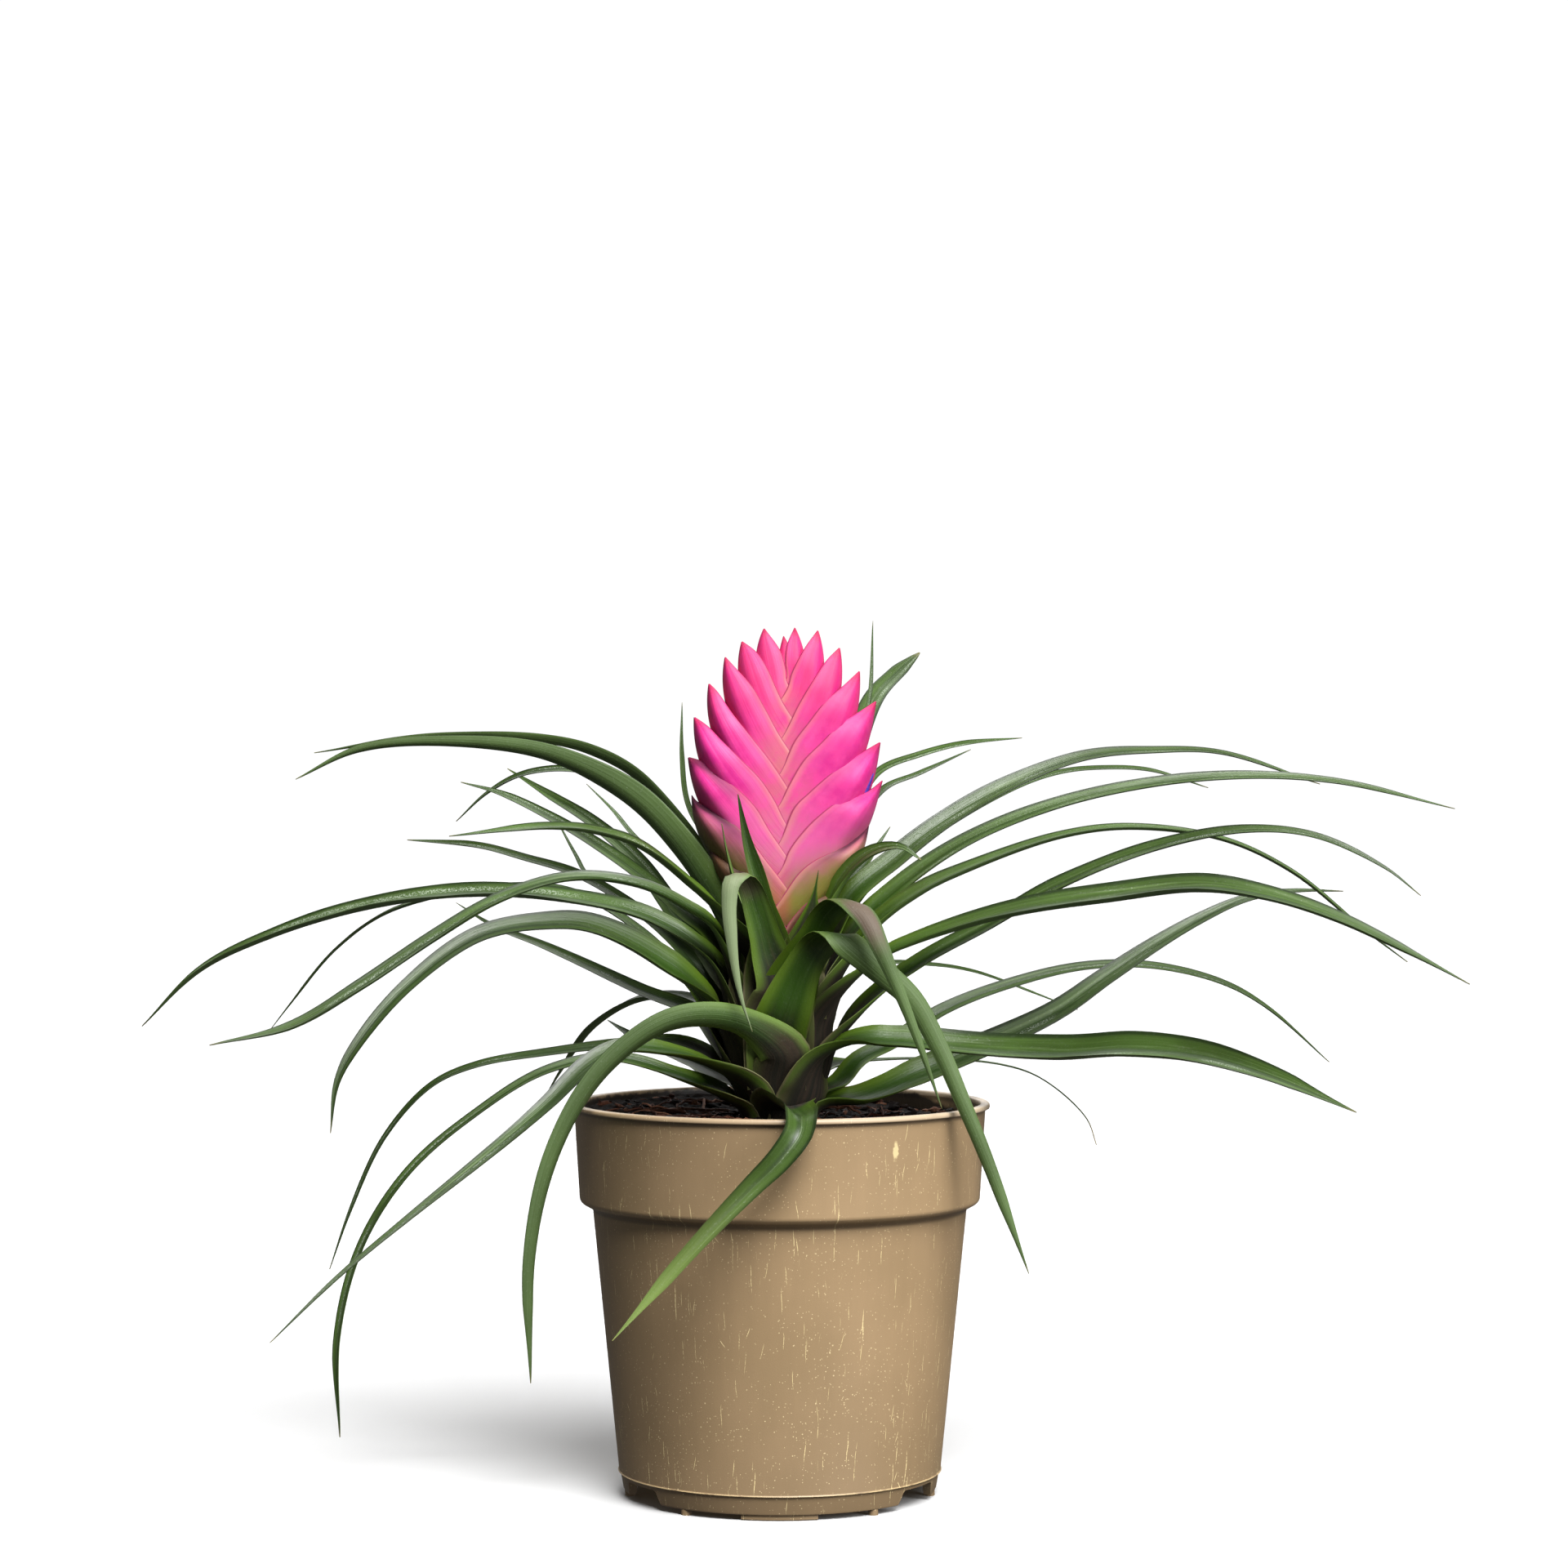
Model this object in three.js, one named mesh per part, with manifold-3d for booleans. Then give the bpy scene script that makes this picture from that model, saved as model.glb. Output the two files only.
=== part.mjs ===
// A potted tillandsia: a flat pink flower spike over a rosette of narrow channelled
// leaves, in a tapered plastic nursery pot filled with potting mix. Millimetres, +Z up,
// the pot's axis on Z and its feet at z = 0. The flat face of the spike looks along -Y.
import * as THREE from 'three';
import { mergeVertices } from 'three/addons/utils/BufferGeometryUtils.js';
import Module from 'manifold-3d';

const wasm = await Module();
wasm.setup();

// Pot
const LIP_RADIUS = 45.1;
const LIP_ROUND = 0.4;
const POT_HEIGHT = 83.8;
const LIP_DROP = 1.1;
const BAND_TOP_RADIUS = 44.1;
const BAND_FOOT_RADIUS = 42.9;
const BAND_FOOT = 63.1;
const BODY_TOP_RADIUS = 40.1;
const BODY_TOP = 61.3;
const BODY_FOOT_RADIUS = 34.5;
const FOOT_RING_TOP = 5.3;
const FOOT_RING_RADIUS = 33.5;
const FOOT_RING_BOTTOM = 1.2;
const FOOT_RING_WALL = 1.6;
const FLOOR_UNDERSIDE = 4.9;
const FLOOR_THICKNESS = 1.3;
const WALL = 1.2;
const EDGE_ROUND = 0.6;
const POT_SIDES = 48;
const FEET = 3;
const NOTCH_WIDTH = 16;
const NOTCH_TOP_WIDTH = 12;
const NOTCH_TOP = 4.3;
const LUG_WIDTH = 16;
const LUG_TOP = 3.2;
const LUG_INSET = 0.2;
const SMALL_LUG_RADIUS = 1.1;
const SMALL_LUG_TURN = 37;
const DRAIN_RADIUS = 3.2;
const DRAIN_CIRCLE = 20;
const DRAINS = 6;
const DRAIN_TURN = 15;

// Potting mix, and the crown: the short stem with the leaf sheaths packed round it. Its
// outline is a list of [height, radius], and its sheath edges run round it as low steps.
const GAP = 0.3;
const SOIL_TOP = 80.2;
const SOIL_TOP_RINGS = [38, 33, 28, 23, 18, 13, 9];
const SOIL_RELIEF = 0.45;
const SOIL_SLACK = 0.2;
const SOIL_SEED = 7;
const CROWN_FOOT = 72;
const CROWN_TOP = 116.7;
const CROWN = [[CROWN_FOOT, 6], [SOIL_TOP, 6.5], [85, 8.5], [90, 10], [96, 10.6], [102, 10], [108, 8.4],
  [113, 6.6], [CROWN_TOP, 4.8]];
const CROWN_SIDES = 28;
const CROWN_RINGS = 13;
const SHEATHS_AROUND = 4;
const SHEATH_RISE = 11;
const SHEATH_STEP = 0.5;

// Leaf blade
const BLADE = 0.8;
const LEAF_TIP_WIDTH = 0.9;
const CHANNEL = 0.22;
const FOOT_CHANNEL = 0.1;
const LEAF_STEP = 11.5;
const FOOT_REACH = 0.7;

// The eye in front of the plant. A point that it sees at across X and up Z in the plane
// of the pot's axis, and that lies at depth y, stands further out the deeper it lies.
const EYE = { x: 0.9, y: -820, z: 152 };

// Each leaf grows from the stem at foot [turn in degrees, height]. Its way is a route of
// [across, up] as seen from the eye, its depth runs evenly along that way from the foot
// side to the tip, behind the axis where positive, and its twist turns the blade about
// its own line, in degrees from the foot side to the tip.
const LEFT_LEAVES = [
  { foot: [145, 114.6], width: 6.5, depth: [11.5, 18.5, 28],
    way: [[-15, 134], [-20, 142], [-30, 153.5], [-40, 159], [-50, 161.5], [-75, 162.3], [-100, 158.7]] },
  { foot: [180, 108.5], width: 8, depth: [-1, 3, 8], twist: [0, 25],
    way: [[-14, 127], [-25, 143], [-35, 151.5], [-50, 158.5], [-69, 161], [-90, 159.6], [-104, 153]] },
  { foot: [132, 110.8], width: 5, depth: [12.8, 42, 72],
    way: [[-14, 128], [-22, 141], [-32, 151], [-43, 155], [-55, 154.2], [-63, 150], [-69.5, 144]] },
  { foot: [153, 106.4], width: 5.5, depth: [7, 25, 60],
    way: [[-14, 118.5], [-20, 124], [-30, 132.5], [-40, 139.5], [-50, 145.3], [-60, 150], [-68.5, 152.4]] },
  { foot: [129, 104], width: 5, depth: [20, 46, 72],
    way: [[-22, 124], [-30, 135], [-40, 143.8], [-50, 150], [-58.5, 155.3]] },
  { foot: [226, 112.5], width: 6, depth: [-10, -26, -50],
    way: [[-12, 123.5], [-20, 131.5], [-30, 139], [-40, 142.1], [-50, 142.9], [-71, 140.8]] },
  { foot: [150, 96], width: 5.5, depth: [10, 36, 65],
    way: [[-16, 110], [-25, 120.5], [-42, 132], [-55, 136.2], [-65, 138.8], [-80, 140]] },
  { foot: [204, 105.5], width: 7, depth: [-6, -14, -26],
    way: [[-14, 121], [-20, 125.8], [-30, 130.5], [-45, 132], [-60, 127.5], [-75, 118.7], [-90, 108.7],
      [-105, 100], [-122.5, 95.9]] },
  { foot: [185, 102.4], width: 7, depth: [0, 18, 45],
    way: [[-14, 113], [-20, 119], [-30, 124.3], [-50, 128.3], [-70, 128.8], [-90, 125.8], [-110, 119.5],
      [-125, 112], [-137, 100]] },
  { foot: [172, 92], width: 4.5, depth: [6, 38, 70],
    way: [[-18, 107], [-32, 122], [-50, 130], [-82, 125.5], [-95, 117], [-105, 105], [-110, 98.5]] },
  { foot: [208, 96], width: 8.5, depth: [-9, -26, -44],
    way: [[-15, 105], [-25, 114], [-40, 121.5], [-50, 122.2], [-65, 119.3], [-80, 108.5], [-90, 97],
      [-95, 88], [-96.5, 77]] },
  { foot: [144, 90.5], width: 5.5, depth: [15, 42, 72],
    way: [[-17, 102], [-30, 107.8], [-50, 117], [-62, 121.8], [-69.5, 126.5]] },
  { foot: [116, 93], width: 5, depth: [18, 40, 62],
    way: [[-11, 102], [-20, 106], [-30, 106], [-40, 100.2], [-47, 90.5], [-50, 85.5]] },
  { foot: [128, 85.5], width: 4.5, depth: [14, 32, 55],
    way: [[-14, 90], [-22, 94], [-30, 97], [-37, 101.3]] },
  { foot: [194, 82.2], width: 6, depth: [-3, -9, -15],
    way: [[-12, 84.4], [-20, 88.5], [-35, 93.2], [-50, 90.5], [-65, 81.5], [-80, 68.5], [-90, 52.5],
      [-95, 33], [-94.5, 11.7]] },
  { foot: [180, 89], width: 6, depth: [0, 4, 10],
    way: [[-22, 96], [-35, 96], [-50, 94.3], [-65, 91.7], [-75, 87.2], [-85, 76], [-92, 61],
      [-96.7, 47.8]] },
  { foot: [224, 87], width: 6.5, depth: [-11, -36, -72],
    way: [[-16, 92], [-25, 94.8], [-33, 95.5], [-40, 92.5], [-50, 83], [-60, 74.5], [-80, 58.5],
      [-95, 46], [-109.5, 32]] },
];
const RIGHT_LEAVES = [
  { foot: [12, 109.5], width: 7, depth: [4, 22, 45],
    way: [[15, 127], [25, 136], [35, 143.7], [50, 152.3], [65, 157.8], [80, 159.2], [95, 158.7],
      [116, 152]] },
  { foot: [38, 102.5], width: 5, depth: [12, 38, 68],
    way: [[15, 125], [30, 139], [50, 151], [60, 154.5], [70, 155.5], [80, 154.9], [92, 151.2]] },
  { foot: [2, 107], width: 7, depth: [2, 5, 8],
    way: [[16, 120.5], [25, 129.5], [40, 139.8], [60, 147.8], [80, 152.2], [100, 153.8], [120, 152.5],
      [145, 146.7]] },
  { foot: [-24, 104], width: 6.5, depth: [-5, -5, -5],
    way: [[20, 121.5], [30, 129.3], [40, 134], [60, 140.9], [75, 142.8], [95, 140.3], [110, 133.3],
      [125, 121.2], [134.8, 113.8]] },
  { foot: [-14, 95], width: 6.5, depth: [-5, -16, -30],
    way: [[20, 106], [30, 113.8], [45, 122], [60, 130.5], [80, 138.4], [100, 142.2], [115, 140.9],
      [130, 134], [137.7, 128]] },
  { foot: [-36, 101], width: 8.5, depth: [-9, -28, -50],
    way: [[14, 108], [22, 115.3], [30, 119], [50, 125], [70, 128.2], [90, 130.3], [105, 128.2],
      [120, 123.2], [135, 116], [148.2, 109]] },
  { foot: [0, 82.3], width: 6, depth: [1, 8, 22],
    way: [[18, 86.5], [30, 89.8], [45, 96], [60, 103.3], [70, 110.3], [80, 117], [90, 122.8],
      [100, 127.3], [110, 129], [121, 129]] },
  { foot: [-52, 85.5], width: 7.5, depth: [-10.5, -17, -42, -72],
    way: [[9, 93], [15, 97.8], [25, 98.2], [40, 95.8], [60, 94.7], [75, 95.5], [90, 94], [105, 89.6],
      [123.8, 81.5]] },
  { foot: [34, 84.5], width: 5.5, depth: [9, 32, 58],
    way: [[13, 87.5], [17, 92.5], [24, 96.5], [35, 103.5], [50, 109.3], [65, 112.8], [80, 113],
      [95, 109.4], [105, 103.8], [118, 92.3]] },
];
const BACK_LEAVES = [
  { foot: [101, 111.5], width: 3.5, depth: [13, 33, 58],
    way: [[-4.5, 122], [-13.5, 137], [-19.5, 147], [-21, 158], [-21, 169.5]] },
  { foot: [112, 106.5], width: 3.5, depth: [14, 42, 72],
    way: [[-8, 118], [-20, 131], [-31, 140.5], [-36, 146.5], [-41.5, 152]] },
  { foot: [118, 98], width: 4, depth: [17, 45, 72],
    way: [[-10, 110], [-25, 123], [-41, 132], [-44, 137], [-48.7, 145.8]] },
  { foot: [84, 113.5], width: 3.5, depth: [11, 26, 48],
    way: [[6, 128], [12, 148], [17, 162], [19.2, 170], [20, 187]] },
  { foot: [72, 110.5], width: 5, depth: [14, 34, 62],
    way: [[8, 128], [14, 152], [20, 170], [25, 175.7], [30, 180.2]] },
  { foot: [58, 106.5], width: 4.5, depth: [18, 42, 72],
    way: [[10, 130], [16, 146], [21, 154.5], [30, 158.3], [40, 160.8], [52, 161.9]] },
  { foot: [88, 104], width: 4.5, depth: [21, 46, 74],
    way: [[10, 126], [16, 142], [22, 150.7], [30, 154.3], [41, 159.4]] },
  { foot: [60, 94.5], width: 4, depth: [14, 44, 72],
    way: [[10, 106], [20, 113], [32, 113.3], [42, 111.7], [55, 107], [64, 103.5]] },
  { foot: [70, 86.5], width: 3.5, depth: [15, 42, 68],
    way: [[9, 91], [25, 93], [48, 91.7], [57, 88.3], [66, 80], [68, 74.5]] },
];
const FRONT_LEAVES = [
  { foot: [272, 90], width: 7, depth: [-14.5, -23, -27, -28, -28],
    way: [[1, 94.5], [-2, 98.5], [-8, 102.8], [-16, 104.3], [-25, 102], [-35, 94.5], [-43, 84.5], [-50, 69],
      [-53.7, 50], [-53.5, 23.3]] },
  { foot: [270, 82.3], width: 7,
    way: [[1, 84, -12], [2.2, 84.6, -22], [3.3, 84.6, -32], [4, 83.6, -40], [4.4, 82, -46],
      [3.8, 77.5, -49.5], [0, 72.5, -50.5], [-6, 66.5, -51], [-17, 54, -53], [-36, 32.4, -56]] },
  { foot: [276, 105], width: 7, depth: [-12, -17, -25, -27, -25],
    way: [[3, 112], [8, 123], [12, 126.3], [16.5, 125.5], [20, 120], [26, 105], [31.5, 90.5],
      [35, 82]] },
  { foot: [264, 98.5], width: 6.5, depth: [-14.5, -18.5, -19, -24, -29, -31],
    way: [[0, 103], [3, 110], [6, 118], [9, 119.5], [14, 117], [20, 110], [28, 105], [35, 94], [41, 81.5],
      [45, 72], [53.5, 46.8]] },
  { foot: [326, 110], width: 5, depth: [-7.5, -11, -18],
    way: [[8, 118], [10, 124], [14, 132.5], [20, 137.5], [26, 138.5], [30.3, 135.7]] },
  { foot: [40, 114.3], width: 3, depth: [8, 11, 16],
    way: [[10, 124], [15, 131], [19, 136], [23.7, 142.8]] },
  { foot: [238, 104], width: 4.5, depth: [-12.5, -15, -18, -21, -21, -20],
    way: [[-4.5, 112], [-4.8, 121], [-6.6, 129.5], [-9.3, 132.2], [-11.6, 129.5], [-11, 122], [-9, 110],
      [-6.2, 100]] },
  { foot: [262, 110], width: 3.5, depth: [-9.5, -10.5, -13],
    way: [[-2, 121], [-4, 130], [-7, 140], [-9, 149.8]] },
  { foot: [236, 114.5], width: 3, depth: [-7.5, -9, -11],
    way: [[-7, 122], [-9.5, 130.5], [-11.5, 138], [-12.5, 143.5]] },
  { foot: [292, 113], width: 3, depth: [-7.5, -8.5, -10],
    way: [[5, 118], [6.3, 123], [7.7, 130], [8.3, 133.5]] },
];

// Flower spike. Each bract is a folded boat from the axis to its tip. It gives the tip,
// the height of its root on the axis, how far its keel bulges out, and the point where
// its free edge leaves the axis, all in the plane of the spike.
const SPIKE_FOOT = CROWN_TOP + GAP;
const SPIKE_TOP = 186;
const SPIKE_LEAN = 1;
const SPIKE_AXIS = [[SPIKE_FOOT, 2.4], [130, 2.6], [160, 2], [178, 1]];
const SPIKE_DEPTH = 5.4;
const BRACT_STEP = 0.1;
const BRACT_STEPS = 6;
const KEEL_DEPTH = 0.45;
const BRACTS = [
  { tip: [0.8, 184], root: 160, bulge: 2, fork: 172 },
  { tip: [-3.4, 185.6], root: 158, bulge: 5, fork: 170 },
  { tip: [3.2, 185.8], root: 158, bulge: 5, fork: 170 },
  { tip: [-8.2, 182.8], root: 154, bulge: 8, fork: 166 },
  { tip: [8.2, 185.2], root: 154, bulge: 8, fork: 166 },
  { tip: [-11.8, 179.5], root: 149, bulge: 11, fork: 163 },
  { tip: [12.9, 181.5], root: 150, bulge: 11, fork: 163 },
  { tip: [-15.3, 173.8], root: 143, bulge: 14, fork: 157 },
  { tip: [17.2, 176.5], root: 144, bulge: 14, fork: 159 },
  { tip: [-18.5, 166.6], root: 137, bulge: 17, fork: 151 },
  { tip: [20.8, 170], root: 138, bulge: 17, fork: 153.5 },
  { tip: [-19.8, 157.9], root: 131, bulge: 18, fork: 145 },
  { tip: [21.7, 161.2], root: 132, bulge: 19, fork: 147.5 },
  { tip: [-19, 149.9], root: 125, bulge: 18, fork: 139 },
  { tip: [22, 152.8], root: 126, bulge: 19, fork: 141.5 },
  { tip: [-15.5, 139.5], root: 119, bulge: 14, fork: 132 },
  { tip: [18.8, 142.7], root: 120, bulge: 15, fork: 134.5 },
];
const BUD = { foot: [16.2, 147.6], tip: [20.6, 155], depth: -1.6, radius: 1.25 };
const BUD_GIRTHS = [[0, 0.5], [0.25, 0.95], [0.6, 1], [0.85, 0.6], [1, 0.25]];
const BUD_ROOM = 0.35;
const ROUND_SIDES = 8;

const material = (color, roughness, metalness = 0) =>
  new THREE.MeshStandardMaterial({ color, roughness, metalness });
const TAUPE_PLASTIC = material('#8f7a5a', 0.55);
const POTTING_MIX = material('#2a1c13', 0.95);
const SHEATH_MAROON = material('#4a3a28', 0.6);
const LEAF_GREEN = material('#3f6336', 0.5);
const BRACT_PINK = material('#ee4fa6', 0.5);
const BUD_VIOLET = material('#5a3aa8', 0.5);

const radians = THREE.MathUtils.degToRad;

// The same small generator each time, so that the soil's lumps never change.
function seededRandom(seed) {
  let state = seed;
  return () => {
    state = (state * 1664525 + 1013904223) % 4294967296;
    return state / 4294967296;
  };
}

// Solids: a closed geometry becomes a solid that can be cut and joined, and back.
function toSolid(geometry) {
  const bare = geometry.clone();
  bare.deleteAttribute('normal');
  bare.deleteAttribute('uv');
  const merged = mergeVertices(bare, 1e-4);
  const mesh = new wasm.Mesh({
    numProp: 3,
    vertProperties: new Float32Array(merged.attributes.position.array),
    triVerts: new Uint32Array(merged.index.array),
  });
  return new wasm.Manifold(mesh);
}

function toGeometry(solid) {
  const { vertProperties, triVerts } = solid.getMesh();
  const geometry = new THREE.BufferGeometry();
  geometry.setAttribute('position', new THREE.BufferAttribute(vertProperties, 3));
  geometry.setIndex(new THREE.BufferAttribute(triVerts, 1));
  geometry.computeVertexNormals();
  return geometry;
}

function namedMesh(name, geometry, finish) {
  const mesh = new THREE.Mesh(geometry, finish);
  mesh.name = name;
  return mesh;
}

// A skin over rings of points, each ring with the same even count, closed at both ends.
// A ring runs anticlockwise seen from the side that the skin grows towards.
function loft(rings) {
  const count = rings[0].length;
  const index = [];
  for (let i = 0; i + 1 < rings.length; i++) {
    for (let j = 0; j < count; j++) {
      const a = i * count + j;
      const b = i * count + ((j + 1) % count);
      index.push(a, b, b + count, a, b + count, a + count);
    }
  }
  const last = (rings.length - 1) * count;
  for (let k = 0; k + 1 < count / 2; k++) {
    const far = count - 1 - k;
    index.push(k, far, k + 1, k + 1, far, far - 1);
    index.push(last + k, last + k + 1, last + far, last + k + 1, last + far - 1, last + far);
  }
  const geometry = new THREE.BufferGeometry();
  const points = rings.flat().flatMap((point) => [point.x, point.y, point.z]);
  geometry.setAttribute('position', new THREE.Float32BufferAttribute(points, 3));
  geometry.setIndex(index);
  geometry.computeVertexNormals();
  return geometry;
}

// A solid of revolution about Z from a profile of [radius, height], closed for a ring.
function turned(profile, sides, ring = false) {
  const outline = ring ? [...profile, profile[0]] : profile;
  const points = outline.map(([radius, height]) => new THREE.Vector2(radius, height));
  const geometry = new THREE.LatheGeometry(points, sides);
  geometry.rotateX(Math.PI / 2);
  return toSolid(geometry);
}

// Pot: one moulded shell with a banded collar, a foot ring cut by three notches, low
// lugs that it stands on, and drain holes.
function potProfile() {
  const inner = (radius) => radius - WALL;
  const ringInside = FOOT_RING_RADIUS - FOOT_RING_WALL;
  const lipFoot = POT_HEIGHT - LIP_DROP;
  const floor = FLOOR_UNDERSIDE + FLOOR_THICKNESS;
  return [
    [0, FLOOR_UNDERSIDE],
    [ringInside, FLOOR_UNDERSIDE],
    [ringInside, FOOT_RING_BOTTOM],
    [FOOT_RING_RADIUS - EDGE_ROUND, FOOT_RING_BOTTOM],
    [FOOT_RING_RADIUS, FOOT_RING_BOTTOM + EDGE_ROUND],
    [BODY_FOOT_RADIUS - EDGE_ROUND / 2, FOOT_RING_TOP - EDGE_ROUND / 2],
    [BODY_FOOT_RADIUS, FOOT_RING_TOP],
    [BODY_TOP_RADIUS, BODY_TOP],
    [BAND_FOOT_RADIUS - EDGE_ROUND, BAND_FOOT - EDGE_ROUND],
    [BAND_FOOT_RADIUS, BAND_FOOT],
    [BAND_TOP_RADIUS, lipFoot],
    [LIP_RADIUS, lipFoot + LIP_ROUND / 2],
    [LIP_RADIUS, POT_HEIGHT - LIP_ROUND],
    [LIP_RADIUS - LIP_ROUND, POT_HEIGHT],
    [inner(BAND_TOP_RADIUS) + LIP_ROUND, POT_HEIGHT],
    [inner(BAND_TOP_RADIUS), POT_HEIGHT - LIP_ROUND],
    [inner(BAND_FOOT_RADIUS), BAND_FOOT + EDGE_ROUND],
    [inner(BODY_TOP_RADIUS), BODY_TOP + EDGE_ROUND],
    [inner(BODY_FOOT_RADIUS), floor],
    [0, floor],
  ];
}

function notchCutter() {
  const shape = new THREE.Shape();
  shape.moveTo(-NOTCH_WIDTH / 2, -1);
  shape.lineTo(NOTCH_WIDTH / 2, -1);
  shape.lineTo(NOTCH_TOP_WIDTH / 2, NOTCH_TOP);
  shape.lineTo(-NOTCH_TOP_WIDTH / 2, NOTCH_TOP);
  const geometry = new THREE.ExtrudeGeometry(shape, { depth: 10, bevelEnabled: false });
  geometry.rotateX(Math.PI / 2);
  geometry.translate(0, 6 - BODY_FOOT_RADIUS, 0);
  return toSolid(geometry);
}

// A wide lug: a slice of a ring that stands on the foot ring, cut square at both ends.
function wideLug() {
  const ring = turned([
    [FOOT_RING_RADIUS - FOOT_RING_WALL, 0], [FOOT_RING_RADIUS - LUG_INSET, 0],
    [FOOT_RING_RADIUS - LUG_INSET, LUG_TOP], [FOOT_RING_RADIUS - FOOT_RING_WALL, LUG_TOP],
  ], POT_SIDES, true);
  const slice = new THREE.BoxGeometry(LUG_WIDTH, FOOT_RING_RADIUS, LUG_TOP * 2);
  slice.translate(0, -FOOT_RING_RADIUS, 0);
  return ring.intersect(toSolid(slice));
}

// The space inside the foot ring, under the floor.
function innerRoom() {
  const room = new THREE.CylinderGeometry(
    FOOT_RING_RADIUS - FOOT_RING_WALL, FOOT_RING_RADIUS - FOOT_RING_WALL, 20, POT_SIDES);
  room.rotateX(Math.PI / 2);
  room.rotateZ(Math.PI / 2);
  return toSolid(room);
}

function smallLug(turn) {
  const lug = new THREE.CylinderGeometry(SMALL_LUG_RADIUS, SMALL_LUG_RADIUS, LUG_TOP, 10);
  lug.rotateX(Math.PI / 2);
  lug.translate(0, LUG_INSET + SMALL_LUG_RADIUS - FOOT_RING_RADIUS, LUG_TOP / 2);
  lug.rotateZ(radians(turn));
  return toSolid(lug).subtract(innerRoom());
}

function drainCutter(turn) {
  const hole = new THREE.CylinderGeometry(DRAIN_RADIUS, DRAIN_RADIUS, 8, 12);
  hole.rotateX(Math.PI / 2);
  hole.translate(DRAIN_CIRCLE, 0, FLOOR_UNDERSIDE);
  hole.rotateZ(radians(turn));
  return toSolid(hole);
}

function pot() {
  let solid = turned(potProfile(), POT_SIDES);
  for (let k = 0; k < FEET; k++) {
    const turn = (k * 360) / FEET;
    solid = solid.subtract(notchCutter().rotate([0, 0, turn + 180 / FEET]));
    solid = solid.add(wideLug().rotate([0, 0, turn]));
    solid = solid.add(smallLug(turn - SMALL_LUG_TURN));
    solid = solid.add(smallLug(turn + SMALL_LUG_TURN));
  }
  for (let k = 0; k < DRAINS; k++) {
    solid = solid.subtract(drainCutter((k * 360) / DRAINS + DRAIN_TURN));
  }
  return namedMesh('pot', toGeometry(solid), TAUPE_PLASTIC);
}

// Potting mix: it fills the pot to just under the rim, with a lumpy top and a plain
// hole that the stem stands in. It keeps clear of the wall, a little more above the floor.
function soil() {
  const random = seededRandom(SOIL_SEED);
  const floor = FLOOR_UNDERSIDE + FLOOR_THICKNESS + GAP;
  const side = (radius) => radius - WALL - GAP - SOIL_SLACK;
  const hole = crownRadius(SOIL_TOP) + 2 * GAP;
  const outline = [
    [SOIL_TOP_RINGS[4], floor], [side(BODY_FOOT_RADIUS), floor], [side(BODY_TOP_RADIUS), BODY_TOP],
    [side(BODY_TOP_RADIUS), BODY_TOP + 1.2], [side(BAND_FOOT_RADIUS), BAND_FOOT + 1.8],
    [side(BAND_TOP_RADIUS), SOIL_TOP],
  ];
  const tops = SOIL_TOP_RINGS.map((radius) => [radius, SOIL_TOP]);
  const well = [[hole, SOIL_TOP], [hole, CROWN_FOOT - GAP]];
  const sides = POT_SIDES / 2;
  const rings = [...outline, ...tops, ...well].map(([radius, height]) =>
    Array.from({ length: sides }, (_, j) => {
      const turn = (2 * Math.PI * j) / sides;
      const lift = SOIL_TOP_RINGS.includes(radius) && height === SOIL_TOP ? 2 * random() - 1 : 0;
      return new THREE.Vector3(
        radius * Math.cos(turn), radius * Math.sin(turn), height + SOIL_RELIEF * lift);
    }));
  return namedMesh('soil', loft(rings), POTTING_MIX);
}

function crownRadius(height) {
  const above = CROWN.findIndex(([level]) => level >= height);
  const [lowLevel, lowRadius] = CROWN[Math.max(0, above - 1)];
  const [level, radius] = CROWN[above];
  const up = above === 0 ? 0 : (height - lowLevel) / (level - lowLevel);
  return lowRadius + (radius - lowRadius) * up;
}

// Each sheath stands proud at one edge and dips under its neighbour at the other.
function sheathLift(turn, height) {
  const phase = (SHEATHS_AROUND * turn) / (2 * Math.PI) + height / SHEATH_RISE;
  const covered = height > SOIL_TOP ? 1 : 0;
  return covered * SHEATH_STEP * (phase - Math.floor(phase));
}

function crown() {
  const shown = Array.from({ length: CROWN_RINGS }, (_, i) =>
    THREE.MathUtils.lerp(SOIL_TOP, CROWN_TOP, i / (CROWN_RINGS - 1)));
  const rings = [CROWN_FOOT, ...shown].map((height) =>
    Array.from({ length: CROWN_SIDES }, (_, j) => {
      const turn = (2 * Math.PI * j) / CROWN_SIDES;
      const radius = crownRadius(height) + sheathLift(turn, height);
      return new THREE.Vector3(radius * Math.cos(turn), radius * Math.sin(turn), height);
    }));
  return namedMesh('crown', loft(rings), SHEATH_MAROON);
}

// Leaves
function seen([across, up], depth) {
  const spread = (depth - EYE.y) / -EYE.y;
  return new THREE.Vector3(EYE.x + (across - EYE.x) * spread, depth, EYE.z + (up - EYE.z) * spread);
}

// A value part way along an even list, eased from entry to entry.
function along(list, t) {
  const place = t * (list.length - 1);
  const before = Math.min(Math.floor(place), list.length - 2);
  const step = place - before;
  const at = (k) => list[THREE.MathUtils.clamp(k, 0, list.length - 1)];
  const [a, b, c, d] = [at(before - 1), at(before), at(before + 1), at(before + 2)];
  const rise = (c - a) / 2;
  const fall = (d - b) / 2;
  const slack = 2 * (b - c) + rise + fall;
  return b + rise * step + (3 * (c - b) - 2 * rise - fall) * step ** 2 + slack * step ** 3;
}

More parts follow.
